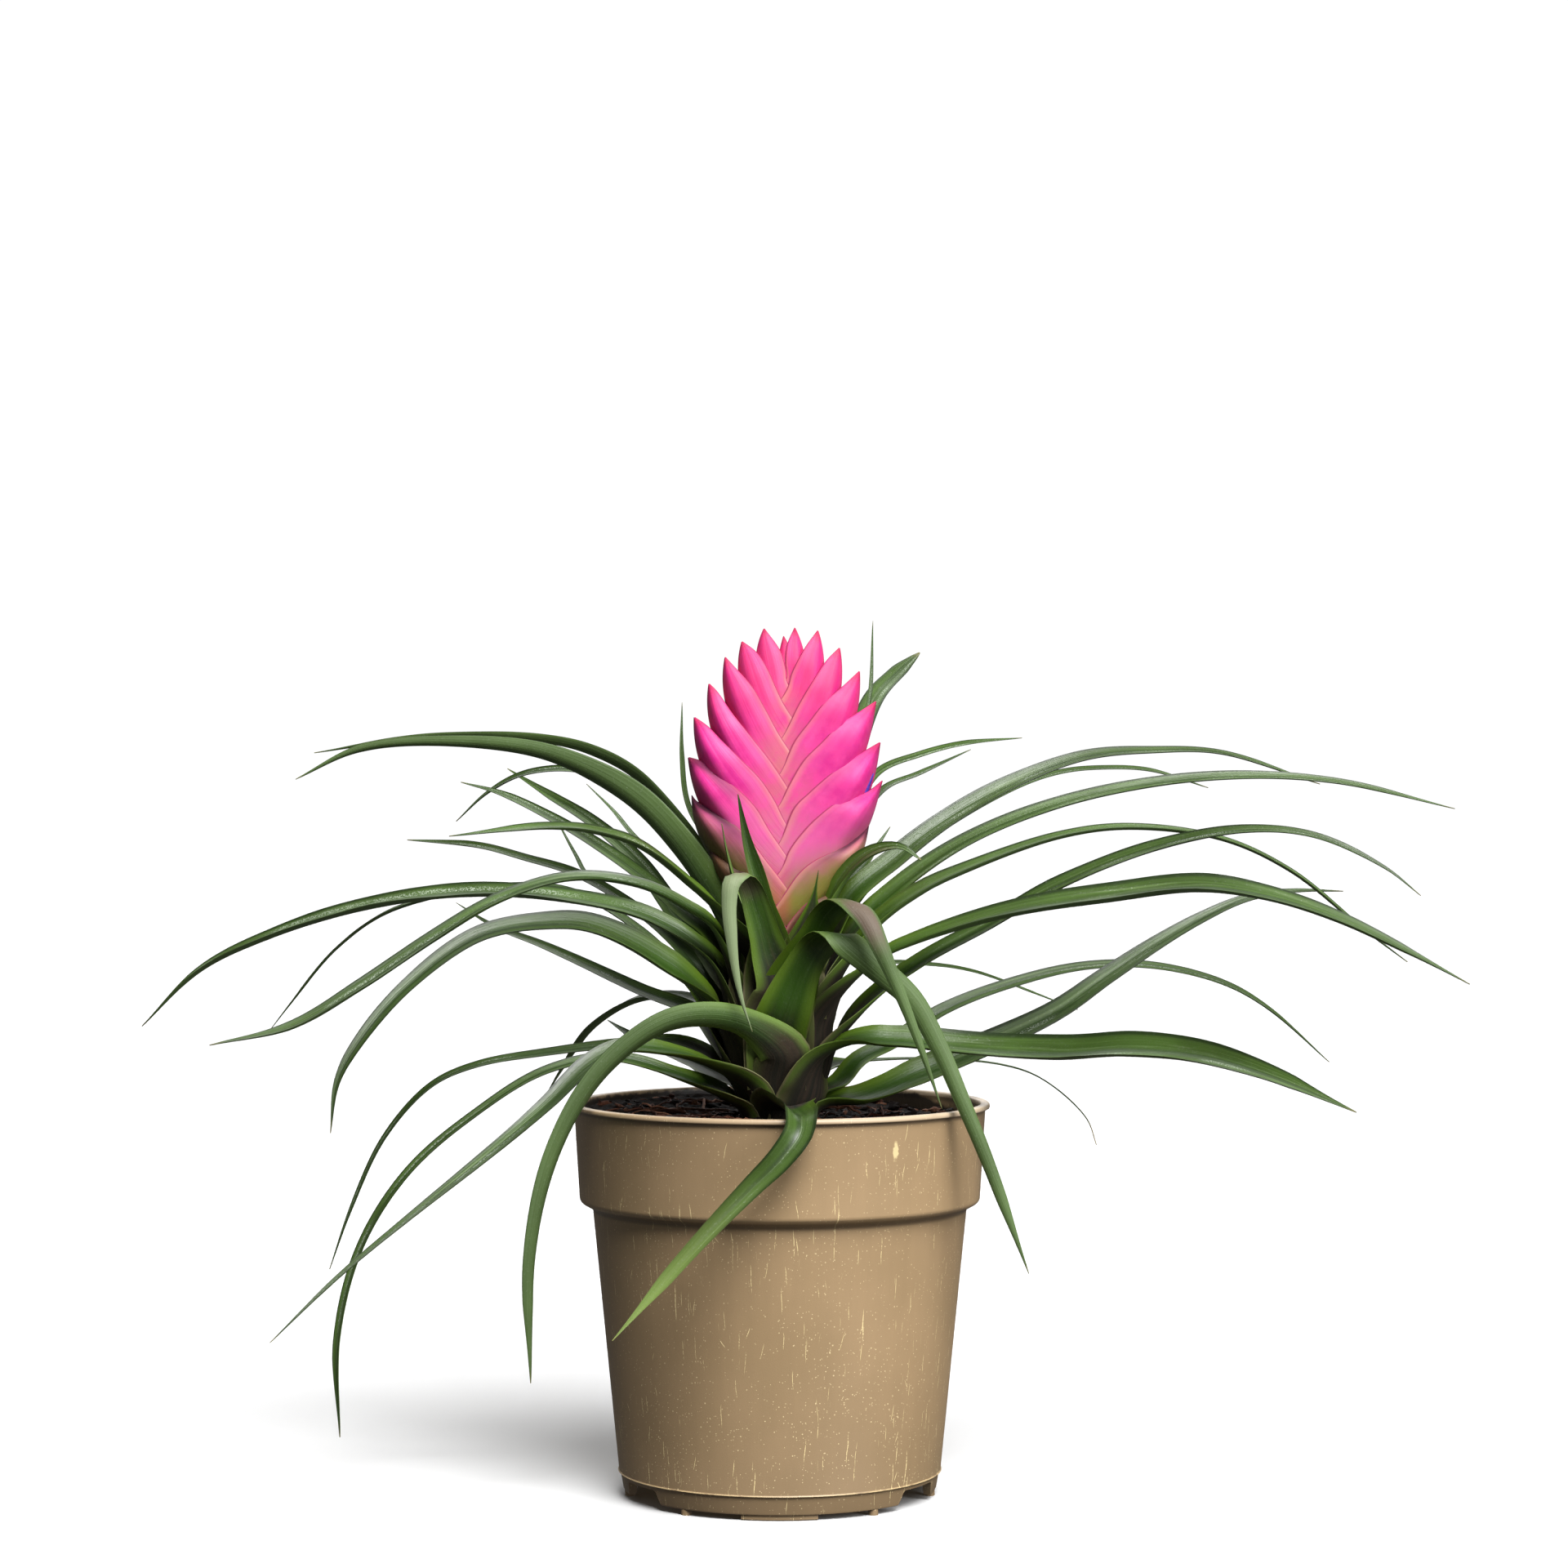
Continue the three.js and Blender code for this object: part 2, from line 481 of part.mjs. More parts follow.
function leafRoute({ foot: [turn, height], way, depth }) {
  const reach = crownRadius(height) + SHEATH_STEP + GAP + FOOT_REACH;
  const foot = new THREE.Vector3(
    reach * Math.cos(radians(turn)), reach * Math.sin(radians(turn)), height);
  const lengths = [0];
  for (let i = 1; i < way.length; i++) {
    lengths.push(lengths[i - 1] + Math.hypot(way[i][0] - way[i - 1][0], way[i][1] - way[i - 1][1]));
  }
  const total = lengths[way.length - 1];
  const points = way.map((place, i) => seen(place, place[2] ?? along(depth, lengths[i] / total)));
  return new THREE.CatmullRomCurve3([foot, ...points], false, 'centripetal');
}

// Across a blade: narrow gutter floor, raised margins, the same thickness under both.
function bladeRing(point, side, face, width, turn, channel) {
  const across = side.clone().multiplyScalar(Math.cos(turn)).addScaledVector(face, Math.sin(turn));
  const up = face.clone().multiplyScalar(Math.cos(turn)).addScaledVector(side, -Math.sin(turn));
  const columns = [[-1, 1], [-0.42, 0.1], [0.42, 0.1], [1, 1]];
  const place = ([u, rise], drop) => point.clone()
    .addScaledVector(across, (u * width) / 2)
    .addScaledVector(up, rise * channel * width - drop);
  const under = columns.map((column) => place(column, BLADE / 2));
  const over = columns.map((column) => place(column, -BLADE / 2)).reverse();
  return [...under, ...over];
}

function leafWidth(t, widest) {
  return LEAF_TIP_WIDTH + (widest - LEAF_TIP_WIDTH) * (1 - t ** 1.6);
}

function leafGeometry(leaf) {
  const route = leafRoute(leaf);
  const count = Math.max(8, Math.round(route.getLength() / LEAF_STEP));
  const turn = radians(leaf.foot[0]);
  const side = new THREE.Vector3(-Math.sin(turn), Math.cos(turn), 0);
  const rings = [];
  for (let i = 0; i <= count; i++) {
    const t = i / count;
    const tangent = route.getTangentAt(t);
    side.addScaledVector(tangent, -side.dot(tangent)).normalize();
    const face = new THREE.Vector3().crossVectors(tangent, side);
    const twist = radians(along(leaf.twist ?? [0, 0], t));
    const channel = FOOT_CHANNEL + (CHANNEL - FOOT_CHANNEL) * Math.min(1, t / 0.2);
    rings.push(bladeRing(route.getPointAt(t), side, face, leafWidth(t, leaf.width), twist, channel));
  }
  return loft(rings);
}

function leaves() {
  const groups = { left: LEFT_LEAVES, right: RIGHT_LEAVES, back: BACK_LEAVES, front: FRONT_LEAVES };
  return Object.entries(groups).flatMap(([group, list]) =>
    list.map((leaf, i) => namedMesh(`leaf_${group}_${i + 1}`, leafGeometry(leaf), LEAF_GREEN)));
}

// Half the spike's depth at a height: slim at the foot, full low down, thin at the top.
function spikeDepth(height) {
  const t = THREE.MathUtils.clamp((height - SPIKE_FOOT) / (SPIKE_TOP - SPIKE_FOOT), 0, 1);
  return 1 + (SPIKE_DEPTH - 1) * Math.sin(Math.PI * Math.min(1, 0.12 + 0.9 * t)) ** 0.7;
}

// One bract, counted from the top of the spike. Its front and back skins run from the
// keel, which is thin and stands at the outside, to the free edge, which lies on the
// bracts above it as a step.
function bract({ tip, root, bulge, fork }, order) {
  const away = Math.sign(tip[0] - SPIKE_LEAN) || 1;
  const axis = (height) => new THREE.Vector2(SPIKE_LEAN, height);
  const end = new THREE.Vector2(...tip);
  const keel = new THREE.QuadraticBezierCurve(
    axis(root), new THREE.Vector2(SPIKE_LEAN + away * bulge, (root * 2 + tip[1]) / 3), end);
  const free = new THREE.QuadraticBezierCurve(
    axis(root + 4), new THREE.Vector2(SPIKE_LEAN - away * 1.5, fork), end);
  const rings = [];
  for (let i = 0; i <= BRACT_STEPS; i++) {
    const t = THREE.MathUtils.lerp(0.04, 0.99, i / BRACT_STEPS);
    const outer = keel.getPoint(t);
    const inner = free.getPoint(t);
    const thin = Math.min(1, (1 - t) / 0.35);
    const swell = (spikeDepth(inner.y) + order * BRACT_STEP - KEEL_DEPTH) * thin;
    const columns = [0, 0.3, 0.65, 1].map((u) => ({
      x: outer.x + (inner.x - outer.x) * u,
      z: outer.y + (inner.y - outer.y) * u,
      y: KEEL_DEPTH + swell * Math.sin(0.6 * Math.PI * u),
    }));
    const front = columns.map(({ x, y, z }) => new THREE.Vector3(x, -y, z));
    const back = columns.map(({ x, y, z }) => new THREE.Vector3(x, y, z)).reverse();
    rings.push(away > 0 ? [...front, ...back].reverse() : [...front, ...back]);
  }
  return toSolid(loft(rings));
}

// A ring of points round a middle, in the plane of two unit directions.
function roundRing(middle, radius, side, other) {
  return Array.from({ length: ROUND_SIDES }, (_, j) => {
    const turn = (2 * Math.PI * j) / ROUND_SIDES;
    return middle.clone().addScaledVector(side, radius * Math.cos(turn))
      .addScaledVector(other, radius * Math.sin(turn));
  });
}

// The slim axis that the bracts stand out of.
function spikeAxis() {
  const [across, back] = [new THREE.Vector3(1, 0, 0), new THREE.Vector3(0, 1, 0)];
  return toSolid(loft(SPIKE_AXIS.map(([height, radius]) =>
    roundRing(new THREE.Vector3(SPIKE_LEAN, 0, height), radius, across, back))));
}

// A closed flower bud that pokes out between two bracts, or, with room round it, its seat.
function budSolid(room) {
  const foot = new THREE.Vector3(BUD.foot[0], BUD.depth, BUD.foot[1]);
  const tip = new THREE.Vector3(BUD.tip[0], BUD.depth, BUD.tip[1]);
  const line = tip.clone().sub(foot).normalize();
  const side = new THREE.Vector3(0, 1, 0);
  const other = new THREE.Vector3().crossVectors(line, side);
  return toSolid(loft(BUD_GIRTHS.map(([t, girth]) => {
    const middle = foot.clone().lerp(tip, t).addScaledVector(line, room * (2 * t - 1));
    return roundRing(middle, BUD.radius * girth + room, side, other);
  })));
}

function flowerBud() {
  return namedMesh('flower_bud', toGeometry(budSolid(0)), BUD_VIOLET);
}

function flowerSpike() {
  const joined = BRACTS.reduce((whole, one, i) => whole.add(bract(one, i)), spikeAxis());
  const seated = joined.subtract(budSolid(BUD_ROOM));
  const [solid] = seated.decompose().sort((a, b) => b.volume() - a.volume());
  return namedMesh('flower_spike', toGeometry(solid), BRACT_PINK);
}

const plant = new THREE.Group();
plant.add(pot(), soil(), crown(), flowerSpike(), flowerBud(), ...leaves());

export default plant;
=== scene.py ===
# A potted tillandsia: a flat pink flower spike over a rosette of narrow channelled leaves,
# in a taupe plastic nursery pot. Sizes are in millimetres until a mesh is made, which is in
# metres. The pot's axis is Z, it stands on z = 0, and the viewer looks along +Y.
import math
import random

import bpy
from mathutils import Matrix, Vector, noise


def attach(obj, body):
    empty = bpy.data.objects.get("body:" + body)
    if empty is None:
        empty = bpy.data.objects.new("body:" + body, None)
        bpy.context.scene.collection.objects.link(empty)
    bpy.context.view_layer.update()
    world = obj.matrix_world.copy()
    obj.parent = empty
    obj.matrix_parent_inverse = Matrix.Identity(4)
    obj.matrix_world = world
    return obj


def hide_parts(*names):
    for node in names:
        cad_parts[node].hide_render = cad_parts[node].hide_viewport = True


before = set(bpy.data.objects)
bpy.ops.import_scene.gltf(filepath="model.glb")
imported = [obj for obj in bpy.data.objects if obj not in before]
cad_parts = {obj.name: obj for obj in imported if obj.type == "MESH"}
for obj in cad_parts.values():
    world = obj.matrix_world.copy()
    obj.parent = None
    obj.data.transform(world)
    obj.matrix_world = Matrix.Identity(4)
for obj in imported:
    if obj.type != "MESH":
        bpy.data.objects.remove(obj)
bpy.ops.object.select_all(action="DESELECT")
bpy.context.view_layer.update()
MM = 0.001


# Studio: a level camera at the height of the flower spike, a wide pale floor, a pale dome
# that closes the view on all sides, a soft key light and a low softbox at the front right,
# and a light from behind for the tops of the leaves.
EYE = Vector((0.9, -820, 152))
bpy.ops.object.camera_add(location=EYE * MM, rotation=(math.radians(90), 0, 0))
camera = bpy.context.object
camera.name = "camera"
camera.data.lens = 87.66
camera.data.sensor_width = 36
camera.data.clip_start = 0.01
bpy.context.scene.camera = camera
bpy.context.scene.view_settings.view_transform = "Standard"

world = bpy.data.worlds.new("studio_air")
world.use_nodes = True
world.node_tree.nodes["Background"].inputs["Color"].default_value = (1, 1, 1, 1)
world.node_tree.nodes["Background"].inputs["Strength"].default_value = 0.11
bpy.context.scene.world = world


def plain(name, color, roughness, glow=0):
    """A plain studio finish."""
    finish = bpy.data.materials.new(name)
    finish.use_nodes = True
    shader = finish.node_tree.nodes["Principled BSDF"]
    shader.inputs["Base Color"].default_value = (*color, 1)
    shader.inputs["Roughness"].default_value = roughness
    shader.inputs["Specular IOR Level"].default_value = 0
    shader.inputs["Emission Color"].default_value = (1, 1, 1, 1)
    shader.inputs["Emission Strength"].default_value = glow
    return finish


def towards(degrees_right, degrees_up):
    """A unit vector from the plant to a light, turned to the viewer's right and up."""
    right, up = math.radians(degrees_right), math.radians(degrees_up)
    return Vector((math.sin(right) * math.cos(up), -math.cos(right) * math.cos(up), math.sin(up)))


def light(name, kind, direction, energy, distance=2.0):
    """A light that shines at the middle of the plant."""
    middle = Vector((0, 0, 0.1))
    bpy.ops.object.light_add(type=kind, location=middle + direction * distance,
                             rotation=direction.to_track_quat("Z", "Y").to_euler())
    lamp = bpy.context.object
    lamp.name = name
    lamp.data.energy = energy
    return lamp.data


bpy.ops.mesh.primitive_circle_add(vertices=64, radius=6, fill_type="NGON", location=(0, 0, 0))
floor = bpy.context.object
floor.name = "floor"
floor.data.materials.append(plain("studio_floor", (0.68, 0.68, 0.68), 1))
floor.visible_diffuse = floor.visible_glossy = False
bpy.ops.mesh.primitive_uv_sphere_add(segments=48, ring_count=24, radius=5.9, location=(0, 0, 0))
dome = bpy.context.object
dome.name = "dome"
dome.data.materials.append(plain("studio_dome", (0, 0, 0), 1, glow=1.05))
dome.visible_diffuse = dome.visible_glossy = dome.visible_shadow = False

light("key_light", "SUN", towards(19, 50), energy=5.0).angle = math.radians(32)
light("back_light", "SUN", towards(184, 40), energy=1.7).angle = math.radians(60)
softbox = light("softbox", "AREA", towards(50, 21), energy=11.0, distance=1.25)
softbox.shape = "RECTANGLE"
softbox.size = 0.7
softbox.size_y = 0.9
bpy.ops.object.select_all(action="DESELECT")


# Pot: one injection-moulded shell of taupe recycled plastic, with plant fibres in it that
# show as pale gold streaks and flecks. A banded collar, a beaded lip, a thin line of flash
# above the foot ring, three notches in the ring, low lugs under it and drain holes.
POT_PROFILE = [  # radius, height, corner radius
    (31.9, 4.9, 0.2), (31.9, 1.2, 0.2), (33.5, 1.2, 0.5), (34.15, 4.9, 0.1), (34.42, 5.02, 0.08),
    (34.75, 5.25, 0.12), (34.5, 5.5, 0.08), (40.1, 61.3, 0.5), (42.5, 62.6, 0.35), (42.9, 63.2, 0.4),
    (44.1, 82.6, 0.25), (45.0, 82.75, 0.2), (45.1, 83.3, 0.3), (44.8, 83.8, 0.3), (43.2, 83.8, 0.25),
    (42.9, 83.3, 0.2), (41.7, 63.7, 0.5), (38.9, 61.8, 0.5), (33.3, 6.2, 0.9),
]
POT_TURNS = 192
POT_FLOOR_LOW = 4.9
POT_FLOOR_HIGH = 6.2
NOTCH = [(-8.2, -1), (8.2, -1), (6.6, 2.6), (6.1, 3.9), (5.5, 4.3), (-5.5, 4.3), (-6.1, 3.9),
         (-6.6, 2.6)]
LUG_SECTION = [(31.85, 0.25), (32.1, 0), (32.6, 0), (32.85, 0.25), (32.95, 3), (31.85, 3)]
LUG_ARC = 28
PEG_TURN = 37


def pick(made):
    """Makes the object the only one selected, and the active one."""
    bpy.ops.object.select_all(action="DESELECT")
    made.select_set(True)
    bpy.context.view_layer.objects.active = made


def object_from(name, points, edges, faces):
    """A new picked object from points in millimetres."""
    mesh = bpy.data.meshes.new(name)
    mesh.from_pydata([Vector(point) * MM for point in points], edges, faces)
    made = bpy.data.objects.new(name, mesh)
    bpy.context.collection.objects.link(made)
    pick(made)
    return made


def tube_faces(rings, sides):
    """The faces of a tube whose points run ring by ring, closed at both ends."""
    faces = [(i * sides + j, i * sides + (j + 1) % sides,
              (i + 1) * sides + (j + 1) % sides, (i + 1) * sides + j)
             for i in range(rings - 1) for j in range(sides)]
    return [*faces, tuple(reversed(range(sides))), tuple(range((rings - 1) * sides, rings * sides))]


def faces_outward(made):
    """Turns all the object's faces to point outwards."""
    pick(made)
    bpy.ops.object.mode_set(mode="EDIT")
    bpy.ops.mesh.select_all(action="SELECT")
    bpy.ops.mesh.normals_make_consistent(inside=False)
    bpy.ops.object.mode_set(mode="OBJECT")


def smooth(made, degrees):
    """Shades the object smooth, except where it bends by more than an angle."""
    pick(made)
    bpy.ops.object.shade_smooth_by_angle(angle=math.radians(degrees))


def rounded(profile):
    """The profile's points with each corner turned into a short arc of three points."""
    points = []
    for i, (radius, height, corner) in enumerate(profile):
        here = Vector((radius, height))
        if i in (0, len(profile) - 1):
            points.append(here)
            continue
        before = Vector(profile[i - 1][:2])
        after = Vector(profile[i + 1][:2])
        first = here + (before - here).normalized() * min(corner, (before - here).length / 2.2)
        last = here + (after - here).normalized() * min(corner, (after - here).length / 2.2)
        middle = first * 0.25 + here * 0.5 + last * 0.25
        points += [first, middle, last]
    return points


def spin(made, steps, degrees=360):
    """Turns a profile round Z and welds it where it meets itself."""
    pick(made)
    bpy.ops.object.mode_set(mode="EDIT")
    bpy.ops.mesh.select_all(action="SELECT")
    bpy.ops.mesh.spin(steps=steps, angle=math.radians(degrees), center=(0, 0, 0), axis=(0, 0, 1))
    bpy.ops.mesh.select_all(action="SELECT")
    bpy.ops.mesh.remove_doubles(threshold=1e-6)
    bpy.ops.object.mode_set(mode="OBJECT")
    faces_outward(made)


def cut(made, tool, operation="DIFFERENCE"):
    """Cuts or joins the tool, which is then gone."""
    pick(made)
    modifier = made.modifiers.new("cut", "BOOLEAN")
    modifier.operation = operation
    modifier.solver = "EXACT"
    modifier.object = tool
    bpy.ops.object.modifier_apply(modifier=modifier.name)
    bpy.data.objects.remove(tool)


def turned_about_axis(points, degrees):
    turn = Matrix.Rotation(math.radians(degrees), 3, "Z")
    return [turn @ Vector(point) for point in points]


def bar_along_y(outline, near, far, degrees):
    """A bar with an outline of (x, z), from y = near to far, turned about Z."""
    count = len(outline)
    points = [(x, near, z) for x, z in outline] + [(x, far, z) for x, z in outline]
    faces = [tuple(range(count)), tuple(range(2 * count - 1, count - 1, -1))]
    faces += [(i, i + count, (i + 1) % count + count, (i + 1) % count) for i in range(count)]
    made = object_from("bar", turned_about_axis(points, degrees), [], faces)
    faces_outward(made)
    return made


def lug(degrees):
    """A low curved bar under the foot ring, a little inside its face."""
    count = len(LUG_SECTION)
    section = turned_about_axis([(0, -r, z) for r, z in LUG_SECTION], degrees + LUG_ARC / 2)
    made = object_from("lug", section, [(i, (i + 1) % count) for i in range(count)],
                       [tuple(range(count))])
    spin(made, 14, LUG_ARC)
    return made


def post(sides, radius, depth, place, degrees):
    """An upright cylinder with its middle at a place, turned about the pot's axis."""
    bpy.ops.mesh.primitive_cylinder_add(vertices=sides, radius=radius * MM, depth=depth * MM)
    made = bpy.context.object
    made.data.transform(Matrix.Rotation(math.radians(degrees), 4, "Z")
                        @ Matrix.Translation(Vector(place) * MM))
    return made


outline = [Vector((0, POT_FLOOR_LOW)), *rounded(POT_PROFILE), Vector((0, POT_FLOOR_HIGH))]
pot_shell = object_from("pot_shell", [(p.x, 0, p.y) for p in outline],
                        [(i, i + 1) for i in range(len(outline) - 1)], [])
spin(pot_shell, POT_TURNS)
for turn in (0, 120, 240):
    cut(pot_shell, bar_along_y(NOTCH, -36, -30, turn + 60))
    cut(pot_shell, lug(turn), "UNION")
    for side in (-PEG_TURN, PEG_TURN):
        cut(pot_shell, post(20, 1.1, 3.2, (0, -32.25, 1.6), turn + side), "UNION")
for turn in range(15, 360, 60):
    cut(pot_shell, post(40, 3.2, 9, (20, 0, POT_FLOOR_LOW), turn))
smooth(pot_shell, 32)


def paint(code):
    """A web colour as the linear colour that a socket takes."""
    parts = [int(code[i:i + 2], 16) / 255 for i in (1, 3, 5)]
    return (*[c / 12.92 if c < 0.04045 else ((c + 0.055) / 1.055) ** 2.4 for c in parts], 1)


class Field:
    """A value that varies over a surface. Arithmetic on it adds Math nodes."""

    def __init__(self, finish, node, outlet=0):
        self.finish, self.node, self.socket = finish, node, node.outputs[outlet]

    def outlet(self, name):
        return Field(self.finish, self.node, name)

    def math(self, operation, *others):
        return self.finish.add("Math", {"operation": operation}, dict(enumerate((self, *others))))

    def __add__(self, other):
        return self.math("ADD", other)

    __radd__ = __add__

    def __mul__(self, other):
        return self.math("MULTIPLY", other)

    __rmul__ = __mul__

    def __sub__(self, other):
        return self.math("SUBTRACT", other)

    def __rsub__(self, other):
        return self.math("MULTIPLY_ADD", -1.0, other)

    def __truediv__(self, other):
        return self.math("DIVIDE", other)

    def __pow__(self, other):
        return self.math("POWER", other)

    def step(self, low, high):
        """0 below low and 1 above high, smooth between. With low over high it falls."""
        return self.finish.add("MapRange", {"interpolation_type": "SMOOTHSTEP"},
                               {0: self, 1: low, 2: high, 3: 0.0, 4: 1.0})


class Finish:
    """A node-based finish that starts from a plain shader. Its colours may be web colours."""

    def __init__(self, name, **constants):
        self.material = bpy.data.materials.new(name)
        self.material.use_nodes = True
        self.tree = self.material.node_tree
        self.shader = self.tree.nodes["Principled BSDF"]
        for socket, value in constants.items():
            self.shader.inputs[socket.replace("_", " ")].default_value = value

    def add(self, kind, settings=None, sockets=None, outlet=0):
        """One node of any kind: its settings first, then its sockets' values or links."""
        node = self.tree.nodes.new("ShaderNode" + kind)
        for name, value in (settings or {}).items():
            if name == "stops":
                while len(node.color_ramp.elements) < len(value):
                    node.color_ramp.elements.new(0.5)
                for element, (place, color) in zip(node.color_ramp.elements, value):
                    element.position, element.color = place, paint(color)
            else:
                setattr(node, name, value)
        for name, value in (sockets or {}).items():
            self.feed(node.inputs[name], value)
        return Field(self, node, outlet)

    def feed(self, socket, value):
        """Links a varying value to a socket, or sets a number or a colour on it."""
        if isinstance(value, Field):
            self.tree.links.new(value.socket, socket)
        else:
            socket.default_value = paint(value) if isinstance(value, str) else value

    def surface(self, name, value):
        self.feed(self.shader.inputs[name], value)

    def place(self):
        """Object coordinates in millimetres."""
        spot = self.add("TexCoord").outlet("Object")
        return self.add("VectorMath", {"operation": "SCALE"}, {0: spot, "Scale": 1 / MM})

    def axes(self, spot):
        parts = self.add("SeparateXYZ", None, {0: spot})
        return parts, parts.outlet("Y"), parts.outlet("Z")

    def attribute(self, name):
        return self.add("Attribute", {"attribute_name": name}).outlet("Fac")

    def vector(self, x, y, z):
        return self.add("CombineXYZ", None, {0: x, 1: y, 2: z})

    def speckle(self, vector, scale, detail=2.0, rough=0.5):
        return self.add("TexNoise", {"noise_dimensions": "3D"},
                        {"Vector": vector, "Scale": scale, "Detail": detail, "Roughness": rough})

    def cells(self, dimensions, vector, scale):
        """Scattered points: the distance to the nearest, and the chance value it holds."""
        nearest = self.add("TexVoronoi", {"voronoi_dimensions": dimensions, "feature": "F1"},
                           {"Vector": vector, "Scale": scale})
        chance = self.add("SeparateColor", None, {0: nearest.outlet("Color")})
        return nearest.outlet("Distance"), chance

    def mix(self, factor, first, second):
        return self.add("Mix", {"data_type": "RGBA"}, {0: factor, 6: first, 7: second}, 2)

    def coats(self, color, *layers):
        """The colour with layers of (how much, colour) laid over it in turn."""
        for factor, over in layers:
            color = self.mix(factor, color, over)
        return color

    def darken(self, color, factor):
        """The colour with its brightness multiplied by a varying factor."""
        return self.add("VectorMath", {"operation": "SCALE"}, {0: color, "Scale": factor})

    def relief(self, height, distance):
        self.surface("Normal", self.add("Bump", None, {"Distance": distance * MM, "Height": height}))


FIBRE_LAYERS = [  # lean in degrees, cell width, cell height, thickness, shift up
    (1, 2.3, 74, 0.045, 0), (-4, 2.9, 70, 0.04, 40), (9, 3.4, 60, 0.036, 90),
    (0, 1.7, 40, 0.05, 130), (-22, 4.4, 50, 0.03, 170), (38, 5.6, 40, 0.026, 210),
    (-1, 4.1, 99, 0.044, 260), (3, 1.9, 55, 0.042, 310), (-12, 2.6, 66, 0.034, 370),
    (2, 1.5, 84, 0.036, 430), (-2, 2.0, 90, 0.034, 520),
]
FLECK_LAYERS = [(0.62, 0.2), (0.95, 0.17), (1.9, 0.11)]  # cell size, thickness
MEAN_RADIUS = 42.0

taupe = Finish("taupe_fibre_plastic", Specular_IOR_Level=0.6)
spot = taupe.place()
x, y, height = taupe.axes(spot)
around = x.math("ARCTAN2", y * -1.0) * MEAN_RADIUS
radius = (x * x + y * y) ** 0.5
bend = taupe.speckle(spot, 0.12) * 1.6
fibres = None
for lean, wide, tall, thick, shift in FIBRE_LAYERS:
    slope = math.tan(math.radians(lean))
    flat = taupe.vector((around + height * slope + bend) / wide, (height + shift) / tall, 0.0)
    distance, chance = taupe.cells("2D", flat, 1.0)
    streak = (chance.step(0.15, 1.0) * thick - distance).step(0.0, 0.012) * chance.step(0.2, 0.9)
    streak = streak * taupe.speckle(spot, 1.5 + wide * 0.3).step(0.34, 0.5)
    fibres = streak if fibres is None else fibres.math("MAXIMUM", streak)
crowd = taupe.speckle(spot, 0.07).step(0.35, 0.7) * 0.3
flecks = None
for size, thick in FLECK_LAYERS:
    distance, chance = taupe.cells("3D", spot, 1 / size)
    fleck = ((chance + crowd).step(0.38, 1.05) * thick - distance).step(0.0, 0.05)
    flecks = fleck if flecks is None else flecks.math("MAXIMUM", fleck)
# One clump of fibre shows on the collar, at the right.
clump = ((around - 24.2) * 1.2) ** 2.0 + ((height - 76.6) * 0.42) ** 2.0
clump = (clump + taupe.speckle(spot, 1.1) * 1.4).step(1.55, 1.0) * (radius - 43).step(0.0, 0.1)
fibres = fibres.math("MAXIMUM", clump)
cloud = taupe.speckle(spot, 0.045, 3.0)
flow = taupe.speckle(taupe.vector(around * 0.5, height * 0.03, radius * 0.1), 1.0, 3.0)
grain = taupe.speckle(spot, 5.5, 2.0)
tone = 0.86 + cloud * 0.14 + flow * 0.1 + grain * 0.08
# Painted shade: the body is darkened towards the bottom.
painted_shade_low = 0.7 + height.step(-14.0, 58.0) * 0.33
# The lip is painted lighter, more so to the right: a painted highlight along the bead.
lip = height.step(82.5, 83.1)
# Painted shade under the lip's bead and under the collar's lower step.
shade_under_ledges = height.step(81.6, 82.5) * height.step(82.95, 82.8)
shade_under_ledges = shade_under_ledges + height.step(60.3, 61.2) * height.step(62.6, 61.9)
# The inner wall above the mix is darkened to near black with a ragged top, up to the lip except at the
# far right.
inner = (radius - height * 0.0612).step(38.3, 38.0) * height.step(62.8, 63.6)
dark_wall_reach = taupe.speckle(spot, 0.5, 3.0) * 1.6 - height - (x - 30.0).math("MAXIMUM", 0.0) * 0.35
flash = height.step(4.98, 5.12) * height.step(5.5, 5.36) * taupe.speckle(spot, 0.35).step(0.32, 0.5)
color = taupe.darken(taupe.mix(cloud.step(0.3, 0.7), "#a58a67", "#99805e"), tone * painted_shade_low)
color = taupe.coats(color, (flecks * 0.65, "#ecd6a6"), (fibres * 0.85, "#f0d9a2"),
                    (lip * (0.34 + x * 0.006), "#d2c0a6"), (shade_under_ledges * 0.6, "#3a2c1c"),
                    (inner * dark_wall_reach.step(-82.9, -82.0) * 0.93, "#120c08"), (flash * 0.45, "#dcc290"))
taupe.surface("Base Color", color)
taupe.surface("Roughness", 0.42 + grain * 0.12 - fibres * 0.08 - lip * 0.08)
taupe.relief(fibres * 0.5 + grain * 0.25 + flow * 0.25, 0.05)
pot_shell.data.materials.append(taupe.material)
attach(pot_shell, "root")
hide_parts("pot")


# Potting mix: moist, nearly black peat and bark that fills the pot to just under the rim,
# with chips of bark and dry reddish roots lying on it. The crown stands in a hole in it.
MIX_TOP = 80.2
MIX_BOTTOM = 6.5
MIX_REACH = 42.4
RING_GAP = 0.85
CROWN_WELL = 7.1
WELL_FLOOR = 71.7
LITTER_REACH = 40.5
CHIPS = 420
ROOTS_ALL_ROUND = 60
ROOTS_AT_LEFT = 46
mix_random = random.Random(21)


def mix_height(x, y):
    """The height of the lumpy top at a place: broad swells, crumbs, and a mound behind."""
    reach = math.hypot(x, y)
    swell = noise.noise(Vector((x, y, 3)) * 0.07) * 0.8
    crumbs = noise.fractal(Vector((x, y, 9)) * 0.42, 0.7, 2.2, 4) * 0.75
    mound = 2.3 * max(0, (y - x) / 58) * min(1, max(0, (reach - 14) / 14))
    return MIX_TOP - 0.3 + swell + crumbs + mound


